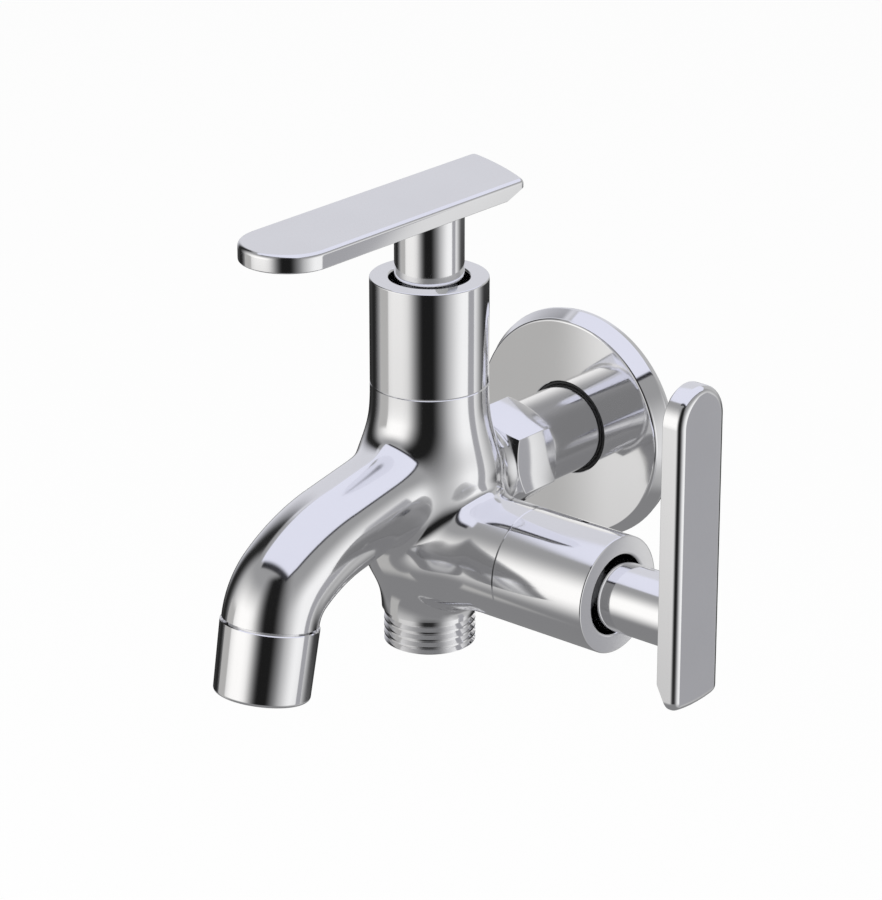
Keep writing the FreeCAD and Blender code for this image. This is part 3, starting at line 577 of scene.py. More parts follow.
@dataclass(frozen=True)
class TurnedMetal(Finish):
    """Bare metal with fine turning marks."""

    marks: float = 5200.0

    def inputs(self, board: Board) -> dict[str, object]:
        """Return the metal's cloudy tone and turning marks.

        Args:
            board: Board of the material.

        Returns:
            Values and terms by socket.
        """
        lines = board.noise(self.marks, 1.0, stretch=(0.12, 0.12, 1.0))
        return {
            "Base Color": board.ramp(board.noise(160.0, 3.0), shades(self.colour, 0.88, 1.06)), "Metallic": 1.0,
            "Roughness": self.roughness + 0.12 * lines, "Normal": board.bump(lines, 0.3, 2e-5),
        }


@dataclass(frozen=True)
class Moulded(Finish):
    """Rubber, plastic or ceramic with a fine grain."""

    grain_depth: float = 1.5e-5

    def inputs(self, board: Board) -> dict[str, object]:
        """Return the cloudy tone and the grain.

        Args:
            board: Board of the material.

        Returns:
            Values and terms by socket.
        """
        grain = board.noise(2600.0)
        return {
            "Base Color": board.ramp(board.noise(240.0, 3.0), shades(self.colour, 0.9, 1.06)),
            "Roughness": self.roughness + 0.1 * (grain - 0.5), "Normal": board.bump(grain, 0.35, self.grain_depth),
        }


PLATE = (0.9, 0.9, 0.91)
CAST_CHROME = Chrome("chrome_cast", PLATE, 0.08, Machining.CAST)
TURNED_CHROME = Chrome("chrome_turned", PLATE, 0.07, Machining.TURNED)
PRESSED_CHROME = Chrome("chrome_pressed", PLATE, 0.05, Machining.PRESSED)

# The finish of each of the record's material slots
FINISHES = {
    "chrome_body": CAST_CHROME,
    "chrome_flange": PRESSED_CHROME,
    "chrome_cap": TURNED_CHROME,
    "chrome_sleeve": TURNED_CHROME,
    "chrome_handle": CAST_CHROME,
    # Brass colour: the metal's own colour, darkened further as painted shade, so the brass seen in the sleeve
    # mouths stays as dark as the shade inside them
    "raw_brass": TurnedMetal("turned_brass", (0.6, 0.43, 0.2), 0.36),
    "steel": TurnedMetal("stainless", (0.56, 0.57, 0.58), 0.32),
    "black_rubber": Moulded("black_rubber_seal", (0.028, 0.028, 0.028), 0.62),
    "cage_plastic": Moulded("grey_cage_plastic", (0.72, 0.73, 0.73), 0.42),
    "slide_plastic": Moulded("white_slide_plastic", (0.86, 0.86, 0.84), 0.4),
    "ceramic": Moulded("lapped_ceramic", (0.9, 0.89, 0.85), 0.16, grain_depth=4e-6),
}


class Workshop:
    """Holds every finish as a material, made once, and hands finished pieces over to the frame."""

    def __init__(self) -> None:
        """Make the materials."""
        made = {finish: finish.material() for finish in dict.fromkeys(FINISHES.values())}
        self.materials = {slot: made[finish] for slot, finish in FINISHES.items()}

    def hand_over(self, piece: Piece, body: str, node: str, slot: str) -> None:
        """Dress a piece, hang it on the body that it rides on and hide the node that it stands for.

        Args:
            piece: The piece, in its place.
            body: Body that it rides on.
            node: Node that it stands for.
            slot: Material slot of the record.
        """
        piece.data.materials.clear()
        piece.data.materials.append(self.materials[slot])
        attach(piece, body)
        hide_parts(node)
        LOG.info("%s: %d faces, rides on %s", piece.name, len(piece.data.polygons), body)

    def finish(self, piece: Piece, place: Matrix, body: str, node: str, slot: str) -> None:
        """Put a piece in place, smooth it and hand it over.

        Args:
            piece: Piece in millimetres, in its own frame.
            place: Its own frame in the object's frame, in millimetres.
            body: Body that it rides on.
            node: Node that it stands for.
            slot: Material slot of the record.
        """
        put(piece, place, MM)
        bpy.ops.object.shade_smooth_by_angle(angle=SMOOTH_ANGLE)
        modify(piece, "WEIGHTED_NORMAL", keep_sharp=True, weight=80)
        self.hand_over(piece, body, node, slot)

    def dress_carried_nodes(self) -> None:
        """Give every node that stays its own finish, and keep raw brass out of the chrome's reflections."""
        for part in frame["record"]["subparts"]:
            node = frame["nodes"][part["node"]]
            material = self.materials[part["material_slot"]]
            if not node.material_slots:
                node.data.materials.append(material)
            for slot in node.material_slots:
                slot.material = material
            if part["material_slot"] == "raw_brass":
                node.visible_glossy = False
        LOG.info("dressed %d nodes", len(frame["nodes"]))


# ---- The casting ----


@dataclass(frozen=True)
class Bend:
    """One bend of the spout: where it starts, its radius, and its slope there and at its end, in degrees."""

    start: Point
    radius: float
    low: float
    high: float

    def centre(self) -> Point:
        """Return the middle of the bend."""
        return (self.start[0] + self.radius * sin(radians(self.low)),
                self.start[1] - self.radius * cos(radians(self.low)))

    def at(self, angle: float) -> Point:
        """Return the point where the slope has an angle, in radians."""
        middle = self.centre()
        return middle[0] - self.radius * sin(angle), middle[1] + self.radius * cos(angle)


@dataclass
class SpoutLine:
    """Centre line of the spout, in the upright plane of the spout, from the crossing of the valve axes."""

    end: Point = (-53.4, -3.7)
    fall: float = 11.2
    bend_end: float = 35.0
    lean: float = 79.0
    long_bend: float = 42.0
    short_bend: float = 12.5

    def bends(self) -> tuple[Bend, Bend]:
        """Return the long bend and the short one at the nozzle.

        Returns:
            Both bends, found backwards from the nozzle's seam.
        """
        steep, middle, gentle = (radians(angle) for angle in (self.lean, self.bend_end, self.fall))
        joint = (self.end[0] + self.short_bend * (sin(steep) - sin(middle)),
                 self.end[1] + self.short_bend * (cos(middle) - cos(steep)))
        start = (joint[0] + self.long_bend * (sin(middle) - sin(gentle)),
                 joint[1] + self.long_bend * (cos(gentle) - cos(middle)))
        return (Bend(start, self.long_bend, self.fall, self.bend_end),
                Bend(joint, self.short_bend, self.bend_end, self.lean))

    def points(self, first: float, beyond: float) -> np.ndarray:
        """Return closely spaced points of the line.

        Args:
            first: Where the line starts, as depth before the trunk's axis.
            beyond: How far it runs on past the nozzle's seam.

        Returns:
            One row of three coordinates per point.
        """
        bends = self.bends()
        start, slope, ahead = bends[0].start, tan(radians(self.fall)), self.direction()
        line = [(y, start[1] + (y - start[0]) * slope) for y in np.linspace(-first, start[0], 24)]
        for bend in bends:
            line += [bend.at(angle) for angle in np.radians(np.linspace(bend.low, bend.high, 26)[1:])]
        line += [(self.end[0] + ahead.y * step, self.end[1] + ahead.z * step)
                 for step in np.linspace(0, beyond, 6)[1:]]
        return np.array([(0.0, y, z) for y, z in line])

    def distance(self, spots: np.ndarray) -> np.ndarray:
        """Return the distance of points from the line, taken as two straight runs and two arcs.

        Args:
            spots: One row of three coordinates per point.

        Returns:
            One distance per point.
        """
        bends, flat, ahead = self.bends(), spots[:, 1:], self.direction()
        start = bends[0].start
        mouth = (self.end[0] + 6 * ahead.y, self.end[1] + 6 * ahead.z)
        gaps = [self._from_run(flat, (0.0, start[1] - start[0] * tan(radians(self.fall))), start),
                self._from_run(flat, self.end, mouth)]
        for bend in bends:
            offset = flat - np.array(bend.centre())
            angle = np.clip(np.arctan2(-offset[:, 0], offset[:, 1]), radians(bend.low), radians(bend.high))
            nearest = bend.radius * np.stack([-np.sin(angle), np.cos(angle)], 1)
            gaps.append(((offset - nearest) ** 2).sum(1))
        return np.sqrt(np.min(gaps, axis=0) + spots[:, 0] ** 2)

    @staticmethod
    def _from_run(spots: np.ndarray, first: Point, last: Point) -> np.ndarray:
        """Return the squared distance of points from a straight run.

        Args:
            spots: One row of two coordinates per point.
            first: Start of the run.
            last: End of the run.

        Returns:
            One squared distance per point.
        """
        run = np.array(last) - np.array(first)
        offset = spots - np.array(first)
        along = np.clip(offset @ run / (run @ run), 0.0, 1.0)
        return ((offset - along[:, None] * run) ** 2).sum(1)

    def direction(self) -> Vector:
        """Return the way in which the nozzle points."""
        return Vector((0, -cos(radians(self.lean)), -sin(radians(self.lean))))

    def nozzle(self) -> Matrix:
        """Return the nozzle's frame, whose upright axis points down the nozzle."""
        turn = Matrix.Rotation(radians(90 + self.lean), 4, "X")
        return Matrix.Translation(CROSSING + Vector((0, *self.end))) @ turn


@dataclass
class Waterways:
    """Wells, bores and ports inside the casting, and the broken edges at its seams."""

    spout: SpoutLine
    well_radius: float = 10.05
    seat_depth: float = 17.6
    seat_hole: float = 5.4
    well_stop: float = 5.4
    inlet_stop: float = 4.5
    outlet_top: float = 9.5
    spout_start: float = 9.5
    spout_port: float = 3.4
    spout_port_length: float = 14.0
    spout_port_lean: float = 48.0
    spout_port_top: Point = (-6.1, 6.0)
    hose_port: float = 2.3
    hose_port_length: float = 12.5
    hose_port_lean: float = 62.0
    hose_port_top: Point = (4.0, -7.7)

    def tool(self) -> Piece:
        """Make one tool of them all.

        Returns:
            The tool, in the casting's own frame.
        """
        raised = Matrix.Translation((0, 0, INLET_RISE))
        (top_y, top_z), (low_x, low_z) = self.spout_port_top, self.hose_port_top
        top_port = Matrix.Translation((0, top_y, TOP_SEAM - self.seat_depth + top_z))
        low_port = Matrix.Translation((SIDE_SEAM - self.seat_depth + low_x, 0, low_z))
        return join("waterways", [
            self.well("top_well", TOP_SEAM, -self.well_stop),
            put(self.well("side_well", SIDE_SEAM, 0.0), ALONG_SIDE),
            put(rod("inlet_way", INLET_BORE, -self.inlet_stop, 40, Facets.BORE), raised @ ALONG_INLET),
            rod("outlet_way", OUTLET_BORE, -30, -self.outlet_top, Facets.BORE),
            self.spout_way(),
            put(rod("spout_port", self.spout_port, -self.spout_port_length, 0, Facets.PORT),
                top_port @ Matrix.Rotation(-radians(self.spout_port_lean), 4, "X")),
            put(rod("hose_port", self.hose_port, -self.hose_port_length, 0, Facets.PORT),
                low_port @ Matrix.Rotation(radians(self.hose_port_lean), 4, "Y")),
            self.seam_edge("top_seam_edge", TOP_SEAM),
            put(self.seam_edge("side_seam_edge", SIDE_SEAM), ALONG_SIDE),
        ])

    def well(self, name: str, seam: float, stop: float) -> Piece:
        """Turn the tool for a cartridge's well and the hole in its seat.

        Args:
            name: Name of the tool.
            seam: Height of the seam over the crossing.
            stop: Height where the hole ends.

        Returns:
            The tool, upright.
        """
        top, seat = seam + 1, seam - self.seat_depth
        return lathe(name, [(0, top), (self.well_radius, top), (self.well_radius, seat), (self.seat_hole, seat),
                            (self.seat_hole, stop), (0, stop)], Facets.WELL)

    @staticmethod
    def seam_edge(name: str, seam: float) -> Piece:
        """Turn the tool that breaks a barrel's edge at its seam.

        Args:
            name: Name of the tool.
            seam: Height of the seam over the crossing.

        Returns:
            The tool, upright.
        """
        inner, outer, foot = BARREL_RADIUS - SEAM_CHAMFER, BARREL_RADIUS + 1.5, seam - SEAM_CHAMFER - 0.3
        return lathe(name, [(inner, seam + 0.5), (inner, seam), (BARREL_RADIUS + 0.3, foot), (outer, foot),
                            (outer, seam + 0.5)], Facets.SEAM)

    def spout_way(self) -> Piece:
        """Sweep the spout's bore along its centre line by extruding a disc from point to point.

        Returns:
            The tool for the bore.
        """
        line = [Vector(point) for point in self.spout.points(self.spout_start, 8.0)[::2]]
        deselect()
        bpy.ops.mesh.primitive_circle_add(vertices=40, radius=SPOUT_BORE, fill_type="NGON", location=line[0],
                                          rotation=(pi / 2 + radians(self.spout.fall), 0, 0))
        piece = bpy.context.object
        bpy.ops.object.transform_apply(location=True, rotation=True, scale=True)
        edit(piece)
        heading = (line[1] - line[0]).normalized()
        for last, spot, after in zip(line, line[1:], line[2:] + [line[-1] * 2 - line[-2]]):
            bpy.ops.mesh.extrude_region_move(TRANSFORM_OT_translate={"value": spot - last})
            ahead = (after - spot).normalized()
            bend = heading.angle(ahead)
            if bend > 1e-5:
                bpy.ops.transform.rotate(value=-bend, orient_axis="X", orient_type="GLOBAL", center_override=spot)
            heading = ahead
        close()
        return piece


@dataclass
class Casting:
    """Body of the tap: trunk, side barrel, spout and inlet neck in one smooth form, hollow inside."""

    workshop: Workshop
    spout: SpoutLine = field(default_factory=SpoutLine)
    spout_radius: float = 10.8
    neck_radius: float = 10.9
    skirt_drop: float = 17.6
    outlet_drop: float = 25.9
    trunk: Sequence[Point] = ((60.0, 13.4), (33.5, 13.4), (30.0, 13.55), (25.7, 14.35), (18.5, 16.6), (7.0, 16.9),
                              (1.0, 16.1), (-4.5, 14.3), (-11.05, 11.9), (-15.5, 10.95), (-40.0, 10.95))
    trunk_softness: float = 2.2
    flare: float = 2.0
    flare_start: float = 7.0
    flare_end: float = 21.0
    spout_blend: float = 7.0
    side_blend: float = 3.2
    neck_blend: float = 4.0
    voxel: float = 0.8
    hex_flats: float = 22.4
    hex_start: float = 18.0
    hex_length: float = 14.0
    hex_turning: float = 1.8
    hex_undercut: float = 0.25
    hex_turn: float = 8.7
    stem_radius: float = 10.3
    stem_core: float = 9.6
    stem_root: float = 6.0
    wall_reach: float = 55.4
    top_from: float = 30.0
    side_from: float = 24.0
    spout_from: float = -38.0
    trunk_front: float = -20.0
    skirt_from: float = -14.5
    neck_from: float = 16.0
    inlet_thread_hidden: float = 2.0
    inlet_thread_length: float = 17.0
    neck_outside: float = 9.3
    neck_length: float = 6.5

    def distance(self, spots: np.ndarray) -> np.ndarray:
        """Return how far points lie outside the outer surface, in the casting's own frame.

        Args:
            spots: One row of three coordinates per point.

        Returns:
            One distance per point, below zero inside.
        """
        x, y, z = spots.T
        heights, radii = self._trunk_table()
        trunk = np.hypot(x, y) - np.interp(z, heights, radii)
        fade = np.clip((self.flare_end - x) / (self.flare_end - self.flare_start), 0.0, 1.0)
        root = BARREL_RADIUS + self.flare * fade**2 * (3 - 2 * fade)
        barrel = np.sqrt(y**2 + z**2 + np.minimum(x, 0) ** 2) - root
        neck = np.sqrt(x**2 + (z - INLET_RISE) ** 2 + np.minimum(y, 0) ** 2) - self.neck_radius
        tube = self.spout.distance(spots) - self.spout_radius
        body = self._blend(trunk, tube, self.spout_blend)
        body = self._blend(body, barrel, self.side_blend)
        return self._blend(body, neck, self.neck_blend)

    def _trunk_table(self) -> tuple[np.ndarray, np.ndarray]:
        """Round off the corners of the trunk's profile.

        Returns:
            Closely spaced heights, and the trunk's radius at each.
        """
        step, reach = 0.25, 32
        heights = np.arange(-30.0, 48.0, step)
        corners = np.array(self.trunk[::-1])
        plain = np.interp(heights, corners[:, 0], corners[:, 1])
        spread = np.exp(-0.5 * (np.arange(-reach, reach + 1) * step / self.trunk_softness) ** 2)
        padded = np.pad(plain, reach, mode="edge")
        return heights, np.convolve(padded, spread / spread.sum(), mode="valid")

    @staticmethod
    def _blend(first: np.ndarray, second: np.ndarray, width: float) -> np.ndarray:
        """Return the distance to two forms joined by a fillet."""
        near = np.maximum(width - np.abs(first - second), 0.0) / width
        return np.minimum(first, second) - near**3 * width / 6.0

    def slope(self, spots: np.ndarray) -> np.ndarray:
        """Return the outward direction of the surface near points.

        Args:
            spots: One row of three coordinates per point.

        Returns:
            One row of three parts per point, about as long as 1.
        """
        step = 0.04
        rises = [self.distance(spots + shift) - self.distance(spots - shift) for shift in step * np.eye(3)]
        return np.stack(rises, 1) / (2 * step)

    def settle(self, piece: Piece, rounds: int = 5) -> None:
        """Move the vertices of a rough form onto the surface.

        Args:
            piece: The rough form.
            rounds: How often they move.
        """
        spots = read(piece.data.vertices, "co", 3)
        for _ in range(rounds):
            slope = self.slope(spots)
            size = np.maximum((slope**2).sum(1), 0.05)
            spots = spots - np.clip(self.distance(spots) / size, -1.5, 1.5)[:, None] * slope
        piece.data.vertices.foreach_set("co", spots.ravel())
        piece.data.update()

    def rough_form(self) -> Piece:
        """Add a rough trunk, barrel, neck and spout, a little too thin, and wrap them in one skin.

        Returns:
            The skin.
        """
        lumps = []
        for spot, turn, radius, depth in (
            ((0, 0, 10.0), (0, 0, 0), 12.8, 58.0),
            ((16.5, 0, 0), (0, pi / 2, 0), 12.8, 33.0),
            ((0, 12.5, INLET_RISE), (pi / 2, 0, 0), 10.4, 25.0),
        ):
            deselect()
            bpy.ops.mesh.primitive_cylinder_add(vertices=32, radius=radius, depth=depth, location=spot,
                                                rotation=turn)
            lumps.append(bpy.context.object)
        for spot in self.spout.points(0.0, 3.0)[::3]:
            deselect()
            bpy.ops.mesh.primitive_uv_sphere_add(segments=24, ring_count=16, radius=10.5, location=spot)
            lumps.append(bpy.context.object)
        for lump in lumps:
            put(lump, lump.matrix_world.copy())
        piece = join("tap_casting", lumps)
        modify(piece, "REMESH", mode="VOXEL", voxel_size=self.voxel)
        return piece

    @staticmethod
    def trim(
        piece: Piece, spot: Sequence[float], normal: Sequence[float], near: Callable[[Vector], bool],
    ) -> None:
        """Cut a branch off flat.

        Args:
            piece: The casting.
            spot: A point of the cutting plane.
            normal: Direction of what falls away.
            near: Tells which faces belong to the branch, by their centre.
        """
        edit(piece)
        select(piece, Parts.FACES, lambda centre, _: near(centre))
        bpy.ops.mesh.bisect(plane_co=spot, plane_no=normal, use_fill=True, clear_outer=True)
        bpy.ops.object.mode_set(mode="OBJECT")

    def outer_form(self) -> Piece:
        """Shape the casting's outside and cut its branches off at their seams.

        Returns:
            The closed outside.
        """
        piece = self.rough_form()
        self.settle(piece)
        edit(piece)
        bpy.ops.mesh.vertices_smooth(factor=0.5, repeat=3)
        bpy.ops.object.mode_set(mode="OBJECT")
        self.settle(piece)
        self.trim(piece, (0, 0, TOP_SEAM), (0, 0, 1), lambda spot: spot.z > self.top_from)
        self.trim(piece, (SIDE_SEAM, 0, 0), (1, 0, 0), lambda spot: spot.x > self.side_from)
        self.trim(piece, (0, *self.spout.end), self.spout.direction(), lambda spot: spot.y < self.spout_from)
        self.trim(piece, (0, 0, -self.skirt_drop), (0, 0, -1),
                  lambda spot: spot.z < self.skirt_from and spot.y > self.trunk_front)
        self.trim(piece, (0, self.hex_start + 3, 0), (0, 1, 0), lambda spot: spot.y > self.neck_from)
        return piece

    @staticmethod
    def thread(start: float, length: float) -> list[Point]:
        """Return the outline of thread crests and roots, upwards from the start.

        Args:
            start: Height of the first crest's edge.
            length: Length of the thread.

        Returns:
            Corners as (radius, height).
        """
        half_mouth, half_root = (THREAD_PITCH - THREAD_LAND) / 2, 0.08
        root = THREAD_RADIUS - THREAD_DEPTH + half_root
        outline = [(THREAD_RADIUS, start)]
        for turn in range(int(length / THREAD_PITCH)):
            middle = start + (turn + 0.5) * THREAD_PITCH
            outline += [(THREAD_RADIUS, middle - half_mouth), (root, middle - half_root),
                        (root, middle + half_root), (THREAD_RADIUS, middle + half_mouth)]
        return outline + [(THREAD_RADIUS, start + length)]

    def hose_thread(self) -> Piece:
        """Turn the threaded hose outlet under the skirt.

        Returns:
            The outlet, in the casting's own frame.
        """
        foot, top = -self.outlet_drop, -self.skirt_drop + 1
        crest = self.thread(foot, self.outlet_drop - self.skirt_drop)
        return lathe("hose_thread", [
            (OUTLET_BORE, foot), (THREAD_RADIUS - 0.35, foot), (THREAD_RADIUS, foot + 0.3), *crest[1:],
            (THREAD_RADIUS, top), (OUTLET_BORE, top)], Facets.THREAD)

    def nozzle_neck(self) -> Piece:
        """Turn the neck inside the aerator.

        Returns:
            The neck, in the casting's own frame.
        """
        low, high = -0.5, self.neck_length
        ring = lathe("nozzle_neck", [(SPOUT_BORE, low), (self.neck_outside, low), (self.neck_outside, high),
                                     (SPOUT_BORE, high)], Facets.NECK)
        return put(ring, Matrix.Translation(-CROSSING) @ self.spout.nozzle())

    def hexagon(self) -> Piece:
        """Make the wrench hexagon with turned corners, upright.

        Returns:
            The hexagon, which stands round the stem.
        """
        across = self.hex_flats / 2
        corner, edge = across / cos(radians(30)), across - self.hex_undercut
        low, high = self.hex_start, self.hex_start + self.hex_length
        deselect()
        bpy.ops.mesh.primitive_cylinder_add(vertices=6, radius=corner, depth=self.hex_length,
                                            location=(0, 0, (low + high) / 2))
        prism = bpy.context.object
        put(prism, Matrix.Rotation(radians(-self.hex_turn), 4, "Z") @ prism.matrix_world.copy())
        blank = lathe("hexagon_blank", [
            (INLET_BORE, low), (edge, low), (corner + 0.05, low + self.hex_turning),
            (corner + 0.05, high - self.hex_turning), (edge, high), (INLET_BORE, high)], Facets.COVER)
        carve(prism, blank, Cut.INSIDE)
        modify(prism, "BEVEL", width=0.22, segments=2, limit_method="ANGLE", angle_limit=radians(24))
        return prism

    def inlet(self) -> Piece:
        """Turn the inlet stem with its thread, and put the hexagon on it.

        Returns:
            The inlet, in the casting's own frame.
        """
        thread_start = self.wall_reach - self.inlet_thread_hidden
        middle, end = self.hex_start + self.hex_length / 2, thread_start + self.inlet_thread_length
        crest = self.thread(thread_start, self.inlet_thread_length)
        stem = lathe("inlet_stem", [
            (INLET_BORE, self.stem_root), (self.stem_core, self.stem_root), (self.stem_core, middle),
            (self.stem_radius, middle), (self.stem_radius, thread_start), *crest[1:-1],
            (THREAD_RADIUS - 0.5, end), (INLET_BORE, end)], Facets.THREAD)
        return put(join("inlet", [stem, self.hexagon()]), Matrix.Translation((0, 0, INLET_RISE)) @ ALONG_INLET)

    def dress_normals(self, piece: Piece) -> None:
        """Give the smooth outer surface its exact normals, and leave the machined faces as they are.

        Args:
            piece: The finished casting, in its place.
        """
        mesh = piece.data
        normals = read(mesh.corner_normals, "vector", 3)
        owner = read(mesh.loops, "vertex_index")
        spots = read(mesh.vertices, "co", 3) / MM - np.array(CROSSING)
        outward = self.slope(spots)
        outward /= np.linalg.norm(outward, axis=1)[:, None]
        on_skin = np.abs(self.distance(spots)) < 0.03
        facing = np.repeat(read(mesh.polygons, "normal", 3), read(mesh.polygons, "loop_total"), axis=0)
        chosen = on_skin[owner] & ((facing * outward[owner]).sum(1) > 0.9)
        normals[chosen] = outward[owner][chosen]
        mesh.normals_split_custom_set(normals.tolist())

    def build(self) -> None:
        """Make the casting and stand it in for the body node."""
        piece = self.outer_form()
        carve(piece, Waterways(self.spout).tool())
        piece = join("tap_casting", [piece, self.hose_thread(), self.nozzle_neck(), self.inlet()])
        put(piece, Matrix.Translation(CROSSING), MM)
        bpy.ops.object.shade_smooth_by_angle(angle=CAST_ANGLE)
        self.dress_normals(piece)
        self.workshop.hand_over(piece, "tap", "tap_body", "chrome_body")


# ---- Flange, aerator, sleeves and levers ----


@dataclass
class Flange:
    """Pressed cover on the wall, with the rubber ring round the stem and the foam behind."""

    workshop: Workshop
    radius: float = 28.0
    back_radius: float = 27.5
    lip: float = 1.6
    face_radius: float = 25.6
    depth: float = 5.8
    roll: float = 0.8
    wall: float = 0.9
    hole: float = 11.2
    hole_edge: float = 0.15
    grip_inner: float = 10.3
    grip_height: float = 1.4
    grip_sink: float = 0.3
    grip_edge: float = 0.3
    foam_width: float = 5.0
    foam_play: float = 0.3
    foam_bulge: float = 0.5

    def cover(self) -> Piece:
        """Turn the cover plate.

        Returns:
            The plate, with its face upwards.
        """
        face, back = self.depth, self.depth - self.wall
        return lathe("wall_cover", [
            (self.hole, face - self.hole_edge), (self.hole + self.hole_edge, face),
            *arc((self.face_radius, face - self.roll), self.roll, 90, 0, 6),
            (self.radius - 0.12, self.lip + 0.55), (self.radius, self.lip), (self.back_radius, 0),
            (self.back_radius - self.wall, 0), (self.radius - self.wall, self.lip),
            (self.face_radius + self.roll - self.wall, back), (self.hole, back)], Facets.COVER)

    def grip(self) -> Piece:
        """Turn the rubber ring round the stem.

        Returns:
            The ring, with its face upwards.
        """
        inner, edge, high = self.grip_inner, self.grip_edge, self.depth - self.grip_sink
        low = high - self.grip_height
        return lathe("stem_grip_ring", [
            (inner, low), (self.hole, low), (self.hole, high - edge), (self.hole - edge, high),
            (inner + edge, high), (inner, high - edge)], Facets.THREAD)

    def foam(self) -> Piece:
        """Turn the foam ring behind the face.

        Returns:
            The ring, with its back at height 0.
        """
        bulge, back = self.foam_bulge, self.depth - self.wall
        rim = self.face_radius - self.wall - self.foam_play
        inner = rim - self.foam_width
        return lathe("foam_ring", [
            (inner + 0.4, 0), (rim - bulge, 0), *arc((rim - bulge, back / 2), bulge, -60, 60, 6),
            (rim - bulge, back), (inner + 0.4, back), (inner, back / 2)], Facets.THREAD)

    def build(self) -> None:
        """Make the three rings and stand them in for their nodes."""
        self.workshop.finish(self.cover(), OUT_OF_WALL, "tap", "wall_flange", "chrome_flange")
        self.workshop.finish(self.grip(), OUT_OF_WALL, "tap", "flange_grip_ring", "black_rubber")
        self.workshop.finish(self.foam(), OUT_OF_WALL, "tap", "flange_seal", "black_rubber")


@dataclass
class Aerator:
    """Chrome cap on the nozzle, with a shadow gap over it."""

    workshop: Workshop
    spout: SpoutLine = field(default_factory=SpoutLine)
    gap: float = 0.5
    radius: float = 11.1
    top_edge: float = 0.2
    foot_radius: float = 10.8
    length: float = 17.0
    edge: float = 0.9
    mouth: float = 8.2
    mouth_edge: float = 0.3
    lip: float = 1.2
    inner: float = 9.35

    def build(self) -> None:
        """Turn the cap and stand it in for the shell node."""
        foot = arc((self.foot_radius - self.edge, self.length - self.edge), self.edge, 0, 90, 8)
        cap = lathe("aerator_cap", [
            (self.inner, self.gap), (self.radius - self.top_edge, self.gap),
            (self.radius, self.gap + self.top_edge), *foot, (self.mouth + self.mouth_edge, self.length),
            (self.mouth, self.length - self.mouth_edge), (self.mouth, self.length - self.lip),
            (self.inner, self.length - self.lip)], Facets.CAP)
        self.workshop.finish(cap, self.spout.nozzle(), "tap", "aerator_shell", "chrome_cap")


@dataclass
class Sleeve:
    """Bonnet sleeve over a cartridge."""

    workshop: Workshop
    valve: Valve
    length: float = 24.8
    bore: float = 11.7
    mouth: float = 9.07
    end: float = 3.0
    edge: float = 0.35
    mouth_edge: float = 0.6

    def build(self) -> None:
        """Turn the sleeve and stand it in for its node."""
        top, radius, name = self.length, BARREL_RADIUS, self.valve.value
        rim = arc((radius - self.edge, top - self.edge), self.edge, 0, 90, 5)
        lip = arc((self.mouth + self.mouth_edge, top - self.mouth_edge), self.mouth_edge, 90, 180, 6)
        piece = lathe(f"{name}_sleeve", [
            (self.bore, 0), (radius - SEAM_CHAMFER, 0), (radius, SEAM_CHAMFER), *rim, *lip,
            (self.mouth, top - self.end), (self.bore, top - self.end)], Facets.SLEEVE)
        self.workshop.finish(piece, self.valve.place(), "tap", f"{name}_bonnet_sleeve", "chrome_sleeve")


